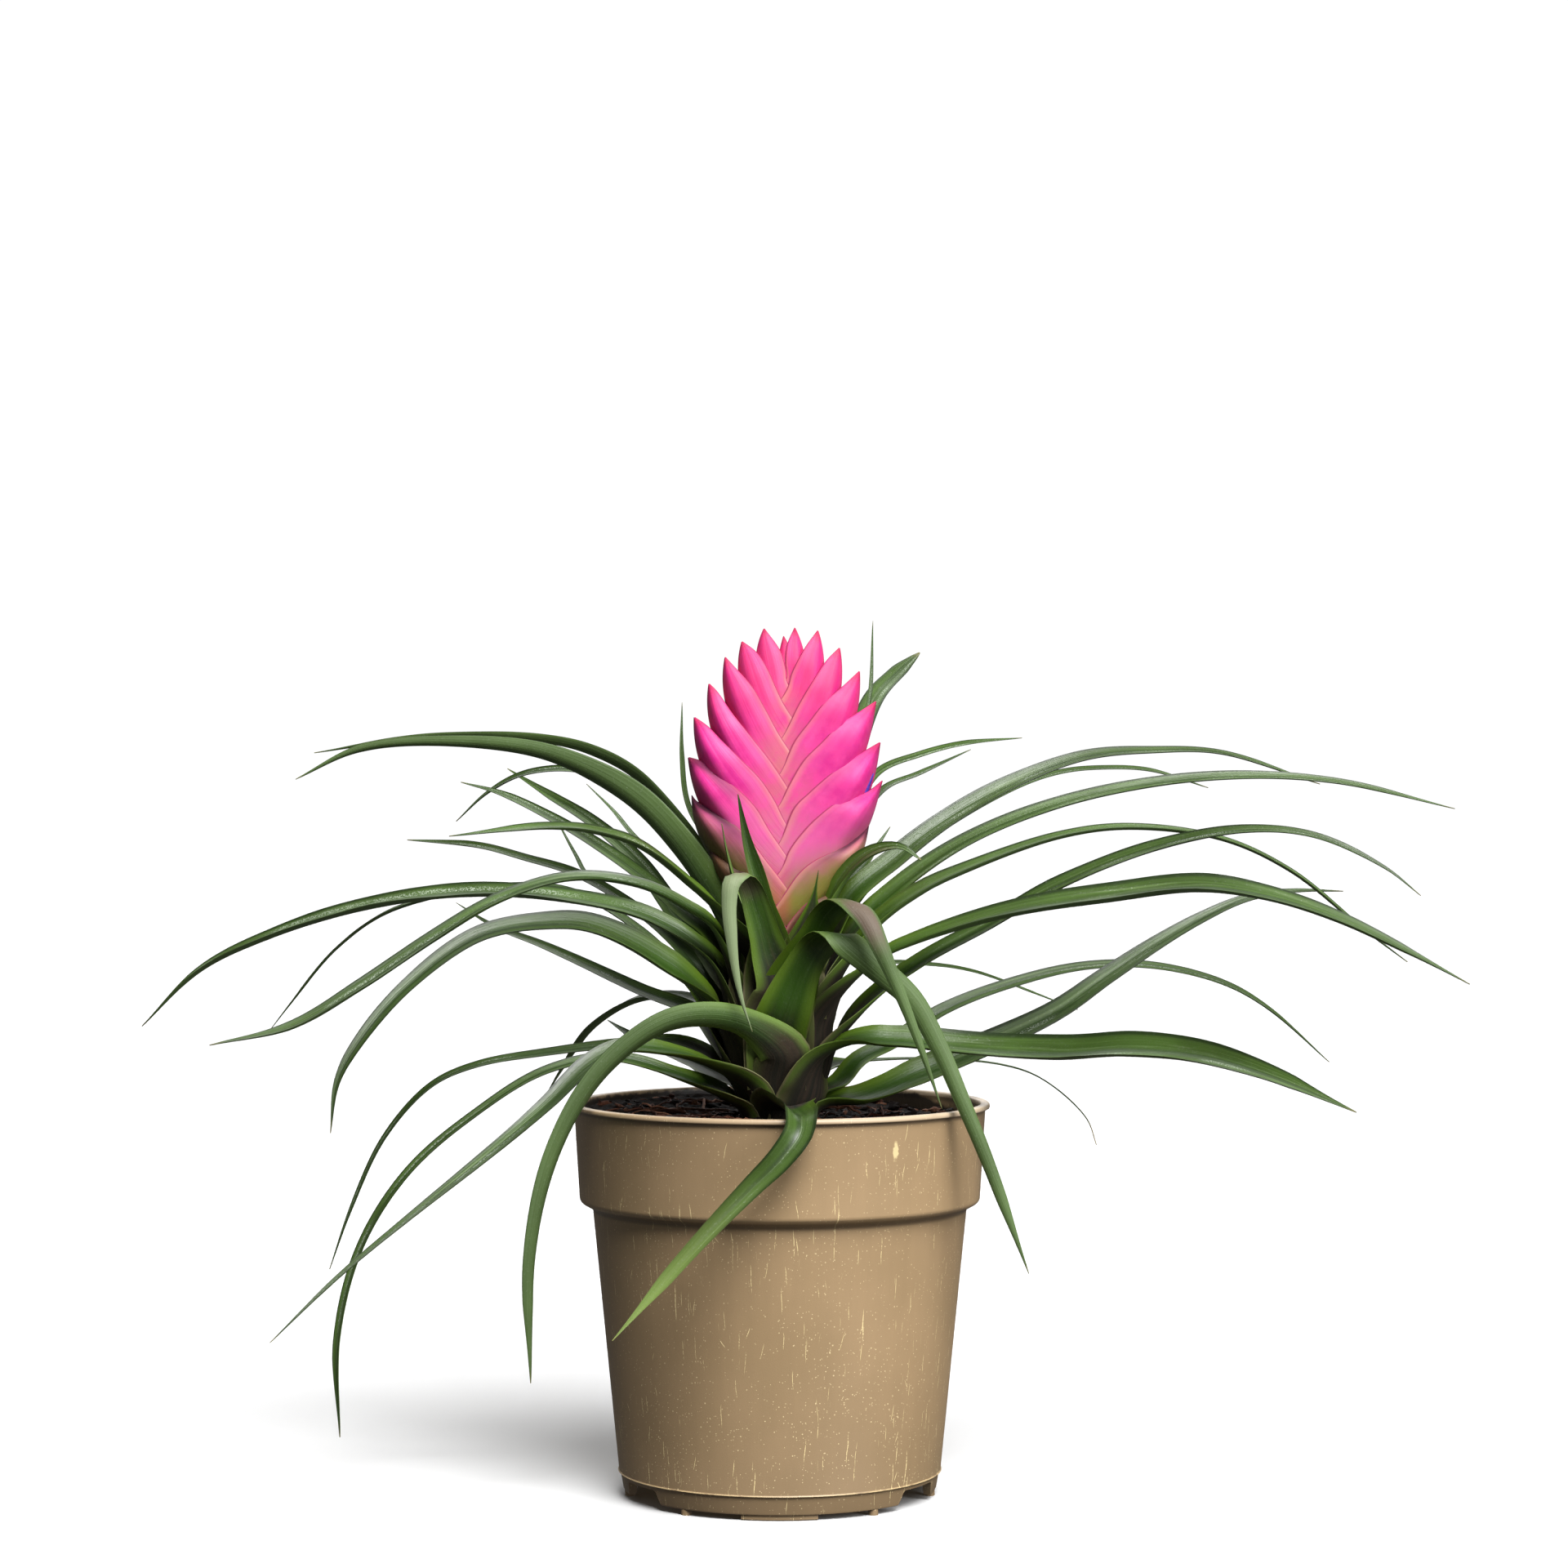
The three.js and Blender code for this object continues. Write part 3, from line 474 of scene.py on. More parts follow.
top_rings = int((MIX_REACH - CROWN_WELL) / RING_GAP) + 1
mix_profile = [(0, MIX_BOTTOM), (12, MIX_BOTTOM), (32.7, MIX_BOTTOM), (38.4, 61.3), (38.4, 62.5),
               (41.2, 64.9), (MIX_REACH, 78.5),
               *[(MIX_REACH - RING_GAP * i, MIX_TOP) for i in range(top_rings)],
               (CROWN_WELL, WELL_FLOOR), (0, WELL_FLOOR)]
potting_mix = object_from("potting_mix", [(radius, 0, height) for radius, height in mix_profile],
                          [(i, i + 1) for i in range(len(mix_profile) - 1)], [])
spin(potting_mix, 180)
for vertex in potting_mix.data.vertices:
    x, y, height = vertex.co / MM
    if height > 79:
        wander = noise.noise_vector(Vector((x, y, 1)) * 0.9) * 0.35
        vertex.co = Vector((x + wander.x, y + wander.y, mix_height(x, y))) * MM


def join_all(name, loose):
    """Joins loose objects into one that is then picked."""
    bpy.ops.object.select_all(action="DESELECT")
    for made in loose:
        made.select_set(True)
    bpy.context.view_layer.objects.active = loose[0]
    bpy.ops.object.join()
    loose[0].name = loose[0].data.name = name
    return loose[0]


def stamp(made, **values):
    """Gives the object's points named attributes, each a list or one value for all."""
    for name, value in values.items():
        if not isinstance(value, list):
            value = [value] * len(made.data.vertices)
        made.data.attributes.new(name, "FLOAT", "POINT").data.foreach_set("value", value)


def chip(index):
    """One chip of bark: a flattened lump with broken sides, half sunk in the mix."""
    bpy.ops.mesh.primitive_uv_sphere_add(segments=8, ring_count=5, radius=1)
    lump = bpy.context.object
    size = mix_random.uniform(0.5, 1.9) * (1.5 if index % 9 == 0 else 1)
    flat = Vector((size, size * mix_random.uniform(0.4, 0.8), size * mix_random.uniform(0.25, 0.5)))
    for vertex in lump.data.vertices:
        bite = 1 + 0.7 * noise.noise(vertex.co * 1.6 + Vector((index * 7.1, 0, 0)))
        vertex.co = Vector((vertex.co.x * flat.x, vertex.co.y * flat.y, vertex.co.z * flat.z)) * bite
    turn = mix_random.uniform(0, math.tau)
    reach = math.sqrt(mix_random.uniform(9.5 ** 2, 40.4 ** 2))
    spot = Vector((reach * math.cos(turn), reach * math.sin(turn), 0))
    spot.z = mix_height(spot.x, spot.y) + flat.z * mix_random.uniform(0.0, 0.45)
    tilt = (Matrix.Rotation(mix_random.uniform(0, math.tau), 4, "Z")
            @ Matrix.Rotation(mix_random.uniform(-0.5, 0.5), 4, "X"))
    lump.data.transform(Matrix.Scale(MM, 4) @ Matrix.Translation(spot) @ tilt)
    stamp(lump, tone=mix_random.random())
    return lump


def root_strand(index, turn, reach, steps=10, sides=5):
    """One dry root: a thin bent strand that lies on the mix and dips into it at both ends."""
    length = mix_random.uniform(9, 24)
    thick = mix_random.uniform(0.16, 0.4)
    heading = mix_random.uniform(0, math.tau)
    curve = mix_random.uniform(-0.16, 0.16)
    spot = Vector((reach * math.cos(turn), reach * math.sin(turn)))
    points = []
    for i in range(steps + 1):
        t = i / steps
        heading += curve + 0.5 * noise.noise(Vector((index * 3.3, i * 0.6, 0)))
        spot = spot + Vector((math.cos(heading), math.sin(heading))) * (length / steps)
        if spot.length > LITTER_REACH:
            spot = spot * (LITTER_REACH / spot.length)
        rise = 0.9 * math.sin(math.pi * t) + 0.3 * noise.noise(Vector((index, i * 0.5, 5)))
        middle = Vector((spot.x, spot.y, mix_height(spot.x, spot.y) + rise))
        across = Vector((-math.sin(heading), math.cos(heading), 0))
        girth = thick * (1 - 0.5 * t)
        for j in range(sides):
            angle = j * math.tau / sides
            points.append(middle + across * math.cos(angle) * girth
                          + Vector((0, 0, math.sin(angle) * girth)))
    strand = object_from(f"strand_{index}", points, [], tube_faces(steps + 1, sides))
    stamp(strand, tone=mix_random.uniform(0.6, 1))
    return strand


bark_chips = join_all("bark_chips", [chip(i) for i in range(CHIPS)])
strands = [root_strand(i, mix_random.uniform(0, math.tau), mix_random.uniform(12, 38))
           for i in range(ROOTS_ALL_ROUND)]
strands += [root_strand(ROOTS_ALL_ROUND + i, math.radians(mix_random.uniform(190, 250)),
                        mix_random.uniform(16, 38)) for i in range(ROOTS_AT_LEFT)]
dry_roots = join_all("dry_roots", strands)

peat = Finish("moist_peat", Specular_IOR_Level=0.1)
spot = peat.place()
crumb = peat.speckle(spot, 1.3, 4.0, 0.65)
patch = peat.speckle(spot, 0.12)
color = peat.add("ValToRGB", {"stops": [(0.3, "#070504"), (0.55, "#17100c"), (0.72, "#261a13"),
                                        (0.85, "#54402f")]}, {0: crumb})
peat.surface("Base Color", peat.darken(color, 0.6 + patch * 0.7))
peat.surface("Roughness", 0.75 + crumb * 0.25)
peat.relief(crumb + peat.speckle(spot, 4.5) * 0.4, 0.5)
potting_mix.data.materials.append(peat.material)

bark = Finish("bark_and_root", Specular_IOR_Level=0.12)
spot = bark.place()
tone = bark.attribute("tone")
vein = bark.speckle(spot, 2.4, 4.0, 0.6)
color = bark.add("ValToRGB", {"stops": [(0.0, "#0a0706"), (0.5, "#1a100c"), (0.8, "#4a2b1e"),
                                        (1.0, "#7e5844")]}, {0: tone})
bark.surface("Base Color", bark.darken(color, 0.5 + vein))
bark.surface("Roughness", 0.6 + vein * 0.3)
bark.relief(vein, 0.25)
for piece in (bark_chips, dry_roots):
    piece.data.materials.append(bark.material)
for piece in (potting_mix, bark_chips, dry_roots):
    smooth(piece, 60)
    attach(piece, "root")
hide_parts("soil")


# Crown: the short stem that the leaves grow from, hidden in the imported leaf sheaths. It is
# a bulging core of dark maroon tissue, and the sheath at each leaf's foot wraps round it.
CROWN_OUTLINE = [  # height, radius
    (72, 6), (80.2, 6.5), (85, 8.5), (90, 10), (96, 10.6), (102, 10), (108, 8.4), (113, 6.6),
    (116.7, 4.8),
]
CROWN_FOOT = CROWN_OUTLINE[0][0]
CROWN_TOP = CROWN_OUTLINE[-1][0]
CROWN_RINGS = 60


def crown_radius(height):
    """The crown's radius at a height, held at its ends."""
    height = min(max(height, CROWN_FOOT), CROWN_TOP)
    for (low, inner), (high, outer) in zip(CROWN_OUTLINE, CROWN_OUTLINE[1:]):
        if height <= high:
            return inner + (outer - inner) * (height - low) / (high - low)
    return CROWN_OUTLINE[-1][1]


crown_levels = [CROWN_FOOT + (CROWN_TOP - CROWN_FOOT) * i / CROWN_RINGS
                for i in range(CROWN_RINGS + 1)]
crown_profile = [(0, CROWN_FOOT), *[(crown_radius(height) - 0.15, height) for height in crown_levels],
                 (0, CROWN_TOP)]
crown_core = object_from("crown_core", [(radius, 0, height) for radius, height in crown_profile],
                         [(i, i + 1) for i in range(len(crown_profile) - 1)], [])
spin(crown_core, 96)
for vertex in crown_core.data.vertices:
    ridge = 1 + 0.05 * noise.noise(Vector((vertex.co.x, vertex.co.y, vertex.co.z * 0.15)) / MM * 0.45)
    vertex.co = Vector((vertex.co.x * ridge, vertex.co.y * ridge, vertex.co.z))
smooth(crown_core, 60)

sheath_core = Finish("packed_sheaths", Specular_IOR_Level=0.35)
x, y, height = sheath_core.axes(sheath_core.place())
grained = sheath_core.speckle(sheath_core.vector(x, y, height * 0.1), 2.2, 3.0)
sheath_core.surface("Base Color", sheath_core.mix(grained.step(0.35, 0.7), "#1a0e0c", "#3f2a22"))
sheath_core.surface("Roughness", 0.55 + grained * 0.2)
sheath_core.relief(grained, 0.2)
crown_core.data.materials.append(sheath_core.material)
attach(crown_core, "root")
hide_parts("crown")


# Leaves: narrow channelled blades of deep green, stiff and arching, each with pale fine
# margins, parallel veins, a matt grey-green underside with white scurf, and at its foot a
# broad maroon sheath that clasps the crown.
BLADE_STEP = 1.5
BLADE_THICKNESS = 0.62
CHANNEL = 0.26
ROLL = 42
ROLL_REACH = 22
SHEATH_REACH = 19
SHEATH_WIDTH = 12.5
TIP_REACH = 16
ACROSS = [-1, -0.93, -0.8, -0.6, -0.38, -0.14, 0.14, 0.38, 0.6, 0.8, 0.93, 1]
MARKS = {"turned": 0, "dry": 0, "blush": 0, "fresh": 0, "pale": 0, "ripe": 0, "scurfy": 1}

# A leaf's foot is [turn in degrees, height]. Its way is a route of [across, up] as the viewer
# sees it, at depths that run from foot to tip, or of [across, up, depth]. Its widths run from
# foot to tip, its tip is how long the point is, and its sheath how broad the foot is. Its
# channel is how deep it is folded, and its roll and twist turn it about its own line. A leaf
# that folds over has a lay instead: the way its right margin points, as the viewer sees it.
# Its marks and its tint are for its colour: turned has the underside on top, fresh is how
# much shorter the maroon is, the glint mark how much painted glint shows, and tint how light it is.
LEAVES = {"left": [
    {"foot": [145, 114.6], "widths": [7, 7, 7, 6.6, 5.8, 4.8, 3.6, 2.6, 2, 1.6, 1.2],
     "depth": [11.5, 18.5, 28], "roll": 40, "scurfy": 0, "way": [[-15, 134], [-20, 142],
     [-30, 153.5], [-40, 159], [-50, 161.5], [-75, 162.3], [-100, 158.7]]},
    {"foot": [180, 108.5], "widths": [9, 9, 9, 8.6, 7.4, 5.4, 4, 3, 2.3, 1.7, 1.3],
     "depth": [-1, 3, 8], "twist": [0, 25], "roll": 35, "tint": 0.1, "scurfy": 0,
     "way": [[-14, 127], [-25, 143], [-35, 151.5], [-50, 158.5], [-69, 161], [-90, 159.6],
     [-104, 153]]},
    {"foot": [132, 110.8], "widths": [5, 3, 2.4, 2, 1.4], "depth": [12.8, 42, 72],
     "way": [[-14, 128], [-22, 141], [-32, 151], [-43, 155], [-55, 154.2], [-63, 150],
     [-69.5, 144]]},
    {"foot": [153, 106.4], "widths": [5.5, 3.8, 3, 2.4, 1.5], "depth": [7, 25, 60],
     "way": [[-14, 118.5], [-20, 124], [-30, 132.5], [-40, 139.5], [-50, 145.3], [-60, 150],
     [-68.5, 152.4]]},
    {"foot": [129, 104], "widths": [6, 4.6, 3.6, 2.6, 1.5], "depth": [20, 46, 72],
     "way": [[-22, 124], [-30, 135], [-40, 143.8], [-50, 150], [-58.5, 155.3]]},
    {"foot": [226, 112.5], "widths": [6, 5, 4, 2.6, 1.2], "depth": [-10, -26, -50],
     "way": [[-12, 123.5], [-20, 131.5], [-30, 139], [-40, 142.1], [-50, 142.9], [-71, 140.8]]},
    {"foot": [150, 96], "widths": [5.5, 3.2, 2.6, 2.2, 1.6], "depth": [10, 36, 65],
     "way": [[-16, 110], [-25, 120.5], [-42, 132], [-55, 136.2], [-65, 138.8], [-80, 140]]},
    {"foot": [204, 105.5], "widths": [6, 4.2, 3.6, 4.2, 3.8, 1.8], "depth": [-6, -14, -26],
     "way": [[-14, 121], [-20, 125.8], [-30, 130.5], [-45, 132], [-60, 127.5], [-75, 118.7],
     [-90, 108.7], [-105, 100], [-122.5, 95.9]]},
    {"foot": [185, 102.4], "widths": [6.5, 6, 6.2, 6, 4.2, 2], "depth": [0, 18, 45],
     "way": [[-14, 113], [-20, 119], [-30, 124.3], [-50, 128.3], [-70, 128.8], [-90, 125.8],
     [-110, 119.5], [-125, 112], [-137, 100]]},
    {"foot": [172, 92], "widths": [4.5, 2.6, 2.4, 1.8, 0.8], "depth": [6, 38, 70],
     "way": [[-18, 107], [-32, 122], [-50, 130], [-82, 125.5], [-95, 117], [-105, 105],
     [-110, 98.5]]},
    {"foot": [208, 96], "widths": [9, 9, 6, 4.4, 3.2, 1.3], "depth": [-9, -26, -44], "tint": -0.35,
     "scurfy": 0, "way": [[-15, 105], [-25, 114], [-40, 121.5], [-50, 122.2], [-65, 119.3],
     [-80, 108.5], [-90, 97], [-95, 88], [-96.5, 77]]},
    {"foot": [144, 90.5], "widths": [5, 3.6, 2.8, 2, 1], "depth": [15, 42, 72], "way": [[-17, 102],
     [-30, 107.8], [-50, 117], [-62, 121.8], [-69.5, 126.5]]},
    {"foot": [116, 93], "widths": [5.5, 4.4, 3.8, 3, 1.6], "depth": [18, 40, 62], "tint": 0.9,
     "way": [[-11, 102], [-20, 106], [-30, 106], [-40, 100.2], [-47, 90.5], [-50, 85.5]]},
    {"foot": [128, 85.5], "widths": [4.5, 3.4, 2.6, 1.4], "depth": [14, 32, 55], "fresh": 8,
     "way": [[-14, 90], [-22, 94], [-30, 97], [-37, 101.3]]},
    {"foot": [194, 82.2], "widths": [5.5, 3.2, 2.4, 2.4, 2.2, 1.6], "depth": [-3, -9, -15],
     "fresh": 10, "way": [[-12, 84.4], [-20, 88.5], [-35, 93.2], [-50, 90.5], [-65, 81.5],
     [-80, 68.5], [-90, 52.5], [-95, 33], [-94.5, 11.7]]},
    {"foot": [180, 89], "widths": [5, 3, 2, 1.6, 1], "depth": [0, 4, 10], "way": [[-22, 96],
     [-35, 96], [-50, 94.3], [-65, 91.7], [-75, 87.2], [-85, 76], [-92, 61], [-96.7, 47.8]]},
    {"foot": [224, 87], "widths": [6, 5.5, 3.4, 1.6, 0.8], "depth": [-11, -36, -72], "fresh": 8,
     "way": [[-16, 92], [-25, 94.8], [-33, 95.5], [-40, 92.5], [-50, 83], [-60, 74.5], [-80, 58.5],
     [-95, 46], [-109.5, 32]]},
], "right": [
    {"foot": [12, 109.5], "widths": [7, 6, 5, 3.4, 1.8, 1.3], "depth": [4, 22, 45], "tint": 0.3,
     "way": [[15, 127], [25, 136], [35, 143.7], [50, 152.3], [65, 157.8], [80, 159.2], [95, 158.7],
     [116, 152]]},
    {"foot": [38, 102.5], "widths": [4, 2, 1.5, 1.4, 1.2], "depth": [12, 38, 68], "way": [[15, 125],
     [30, 139], [50, 151], [60, 154.5], [70, 155.5], [80, 154.9], [92, 151.2]]},
    {"foot": [2, 107], "widths": [6.5, 5, 4, 3.2, 2.2, 1], "depth": [2, 5, 8], "way": [[16, 120.5],
     [25, 129.5], [40, 139.8], [60, 147.8], [80, 152.2], [100, 153.8], [120, 152.5], [145, 146.7]]},
    {"foot": [-24, 104], "widths": [7, 6.4, 3.6, 2.6, 1.9, 1.2], "depth": [-5, -5, -5],
     "way": [[20, 121.5], [30, 129.3], [40, 134], [60, 140.9], [75, 142.8], [95, 140.3],
     [110, 133.3], [125, 121.2], [134.8, 113.8]]},
    {"foot": [-14, 95], "widths": [6, 5, 4.6, 3.6, 2, 1], "depth": [-5, -16, -30],
     "way": [[20, 106], [30, 113.8], [45, 122], [60, 130.5], [80, 138.4], [100, 142.2],
     [115, 140.9], [130, 134], [137.7, 128]]},
    {"foot": [-36, 101], "widths": [6, 5.2, 7.4, 8.6, 6.4, 3.6, 1.3], "depth": [-9, -28, -50],
     "scurfy": 0.2, "way": [[14, 108], [22, 115.3], [30, 119], [50, 125], [70, 128.2], [90, 130.3],
     [105, 128.2], [120, 123.2], [135, 116], [148.2, 109]]},
    {"foot": [0, 82.3], "widths": [8.5, 8, 6.4, 4.8, 2.8, 1.3], "depth": [1, 8, 22], "fresh": 10,
     "way": [[18, 84], [30, 89.8], [45, 96], [60, 103.3], [70, 110.3], [80, 117], [90, 122.8],
     [100, 127.3], [110, 129], [121, 129]]},
    {"foot": [-52, 85.5], "widths": [8, 7.5, 9, 8.6, 5.5, 1.8], "depth": [-10.5, -17, -42, -72],
     "sheath": 14, "roll": 68, "way": [[9, 93], [15, 96.8], [25, 97.2], [40, 95.8], [60, 94.7],
     [75, 95.5], [90, 94], [105, 89.6], [123.8, 81.5]]},
    {"foot": [34, 84.5], "widths": [5, 3.4, 2.6, 2.2, 1.6, 0.9], "depth": [9, 32, 58], "sheath": 7,
     "fresh": 10, "way": [[13, 87.5], [17, 92.5], [24, 96.5], [35, 103.5], [50, 109.3], [65, 112.8],
     [80, 113], [95, 109.4], [105, 103.8], [118, 92.3]]},
], "back": [
    {"foot": [101, 111.5], "widths": [2.6, 1.4, 1.3, 1.2, 0.9], "depth": [13, 33, 58],
     "way": [[-4.5, 122], [-13.5, 137], [-19.5, 147], [-21, 158], [-21, 169.5]]},
    {"foot": [112, 106.5], "widths": [2.6, 1.4, 1.3, 1.2, 0.9], "depth": [14, 42, 72],
     "way": [[-8, 118], [-20, 131], [-31, 140.5], [-36, 146.5], [-41.5, 152]]},
    {"foot": [118, 98], "widths": [2.6, 1.6, 1.4, 1.2, 0.9], "depth": [17, 45, 72],
     "way": [[-10, 110], [-25, 123], [-41, 132], [-44, 137], [-48.7, 145.8]]},
    {"foot": [84, 113.5], "widths": [2.4, 1.6, 1.2, 1, 0.8], "depth": [11, 26, 48],
     "way": [[6, 128], [12, 148], [17, 162], [19.2, 170], [20, 187]]},
    {"foot": [72, 110.5], "widths": [4, 4, 5, 5.4, 5, 4], "depth": [14, 34, 62], "channel": 0.12,
     "tip": 7, "way": [[8, 128], [14, 152], [20, 170], [25, 175.7], [30, 180.2]]},
    {"foot": [58, 106.5], "widths": [3.4, 2, 1.8, 1.6, 1.1], "depth": [18, 42, 72],
     "way": [[10, 130], [16, 146], [21, 154.5], [30, 158.3], [40, 160.8], [52, 161.9]]},
    {"foot": [88, 104], "widths": [3.4, 2, 1.8, 1.6, 1.1], "depth": [21, 46, 74], "way": [[10, 126],
     [16, 142], [22, 150.7], [30, 154.3], [41, 159.4]]},
    {"foot": [60, 94.5], "widths": [2.5, 1.3, 1, 0.8, 0.6], "depth": [14, 44, 72],
     "way": [[10, 106], [20, 113], [32, 113.3], [42, 111.7], [55, 107], [64, 103.5]]},
    {"foot": [70, 86.5], "widths": [2.2, 1.1, 0.8, 0.6, 0.5], "depth": [15, 42, 68], "dry": 1.0,
     "way": [[9, 91], [25, 93], [48, 91.7], [57, 88.3], [66, 80], [68, 74.5]]},
], "front": [
    {"foot": [272, 90], "widths": [7, 6.2, 5.3, 4.5, 3.6, 2.8, 1.6],
     "depth": [-14.5, -23, -27, -28, -28], "channel": 0.2, "tint": 0.02, "scurfy": 0,
     "way": [[1, 93.5], [-2, 97], [-8, 100.8], [-16, 102.3], [-25, 100.6], [-35, 93.8], [-43, 84.2],
     [-50, 69], [-53.7, 50], [-53.5, 23.3]]},
    {"foot": [270, 82.3], "widths": [8, 8.4, 7.8, 6, 4.4, 3.4, 2.6, 1.2], "sheath": 13,
     "channel": 0.36, "scurfy": 0, "ripe": 1, "way": [[1, 82.4, -12], [2, 82.6, -20],
     [3, 82.6, -30], [4, 82.2, -39], [4.4, 80.9, -45.5], [3.9, 77, -49], [0, 71.5, -50.5],
     [-6, 65.5, -51], [-17, 54, -53], [-36, 32.4, -56]]},
    {"foot": [276, 105], "widths": [7, 6.6, 6.2, 5.4, 4.4, 3, 2.1, 1.6, 1], "lay": [[1, -0.1],
     [0.9, -0.4], [0.95, -0.3], [1, 0.2], [0.75, 0.6], [0.85, 0.5], [0.9, 0.4]], "channel": -0.16,
     "turned": 1, "roll": 0, "blush": 1.0, "tint": 0.15, "fresh": 8, "way": [[3.6, 112, -13],
     [7.2, 119, -16], [10, 124, -19], [12.8, 126.3, -22], [15.6, 126, -27], [18.6, 123.2, -30],
     [21.2, 117.8, -32], [24.3, 110.6, -33], [27.4, 103, -33.5], [30.4, 95, -34], [33, 87.5, -34],
     [34.8, 82.3, -34]]},
    {"foot": [266, 98.5], "widths": [9.5, 8, 6.8, 5.4, 4.2, 3.4, 2.9, 2.2, 1.2], "lay": [[1, -0.1],
     [0.95, -0.35], [1, 0.05], [0.8, 0.6], [0.8, 0.55], [0.85, 0.5], [0.85, 0.45]],
     "channel": -0.16, "turned": 1, "roll": 0, "tint": 0.1, "fresh": 12, "way": [[1.4, 104, -14.8],
     [4.2, 111, -16.5], [7.4, 116.6, -18.5], [10, 119, -21], [12.6, 119, -23.5], [16.3, 116.4, -25],
     [21.5, 112, -26], [28.6, 105.5, -26.5], [34.2, 95.5, -28], [39.2, 84, -30], [44.6, 71, -31],
     [53.5, 46.8, -32]]},
    {"foot": [326, 110], "widths": [7, 6.5, 5.6, 4.6, 2.6], "depth": [-7.5, -11, -18], "roll": 48,
     "way": [[8, 118], [10, 124], [14, 132.5], [20, 137.5], [26, 138.5], [30.3, 135.7]]},
    {"foot": [40, 114.3], "widths": [3.4, 3.2, 2.8, 1.4], "depth": [8, 11, 16], "way": [[10, 124],
     [15, 131], [19, 136], [23.7, 142.8]]},
    {"foot": [262, 103], "widths": [8, 7.4, 6.4, 5, 3.4, 2.6, 2, 1], "lay": [[1, 0.1], [1, 0.3],
     [1, 0.25], [1, 0], [1, 0.1], [1, 0.2], [1, 0.3]], "channel": -0.18, "turned": 1, "roll": 0,
     "tip": 22, "blush": 0.6, "tint": 1, "pale": 1, "way": [[0.5, 108, -12.5], [-2.2, 116, -14],
     [-4.5, 124, -16], [-6.5, 130, -18], [-8.3, 132.3, -20.5], [-10.2, 131.3, -22.5],
     [-10.9, 126, -23], [-10.4, 119, -23], [-9.5, 112, -22.5], [-8, 105, -22], [-5.9, 98.8, -21]]},
    {"foot": [262, 110], "widths": [5, 4, 3.2, 1.8], "depth": [-9.5, -10.5, -13], "channel": -0.25,
     "turned": 1, "way": [[-2, 121], [-4, 130], [-7, 140], [-9, 149.8]]},
    {"foot": [236, 114.5], "widths": [4, 3, 2.2, 1.2], "depth": [-7.5, -9, -11], "channel": -0.25,
     "turned": 1, "way": [[-7, 122], [-9.5, 130.5], [-11.5, 138], [-12.5, 143.5]]},
    {"foot": [292, 113], "widths": [3.5, 3, 2, 1], "depth": [-7.5, -8.5, -10], "channel": -0.25,
     "turned": 1, "way": [[5, 118], [6.3, 123], [7.7, 130], [8.3, 133.5]]},
]}


def seen(across, up, depth):
    """The point at a depth that the viewer sees at across and up in the axis's plane."""
    spread = (depth - EYE.y) / -EYE.y
    return Vector((EYE.x + (across - EYE.x) * spread, depth, EYE.z + (up - EYE.z) * spread))


def eased(values, t):
    """A value part way along an even list, eased from entry to entry."""
    place = t * (len(values) - 1)
    before = min(int(place), len(values) - 2)
    step = place - before
    a, b, c, d = (values[min(max(k, 0), len(values) - 1)] for k in range(before - 1, before + 3))
    rise, fall = (c - a) / 2, (d - b) / 2
    return (b + rise * step + (3 * (c - b) - 2 * rise - fall) * step ** 2
            + (2 * (b - c) + rise + fall) * step ** 3)


def curve_through(points, fine=24):
    """Close points along a smooth curve through the given ones, which may be uneven."""
    ends = [points[0] * 2 - points[1], *points, points[-1] * 2 - points[-2]]
    close = []
    for i in range(1, len(ends) - 2):
        p0, p1, p2, p3 = ends[i - 1:i + 3]
        d0, d1, d2 = ((q - p).length ** 0.5 for p, q in ((p0, p1), (p1, p2), (p2, p3)))
        m1 = (p1 - p0) / d0 * d1 - (p2 - p0) * (d1 / (d0 + d1)) + (p2 - p1)
        m2 = (p2 - p1) - (p3 - p1) * (d1 / (d1 + d2)) + (p3 - p2) / d2 * d1
        for k in range(fine):
            t = k / fine
            close.append(p1 * (2 * t ** 3 - 3 * t ** 2 + 1) + m1 * (t ** 3 - 2 * t ** 2 + t)
                         + p2 * (3 * t ** 2 - 2 * t ** 3) + m2 * (t ** 3 - t ** 2))
    return [*close, points[-1]]


def evenly(close, step):
    """Even places along close points: a list of points and the distance of each."""
    lengths = [0.0]
    for before, after in zip(close, close[1:]):
        lengths.append(lengths[-1] + (after - before).length)
    count = max(12, round(lengths[-1] / step))
    places, k = [], 0
    for i in range(count + 1):
        goal = lengths[-1] * i / count
        while k < len(close) - 2 and lengths[k + 1] < goal:
            k += 1
        share = (goal - lengths[k]) / max(1e-9, lengths[k + 1] - lengths[k])
        places.append((close[k].lerp(close[k + 1], share), goal))
    return places


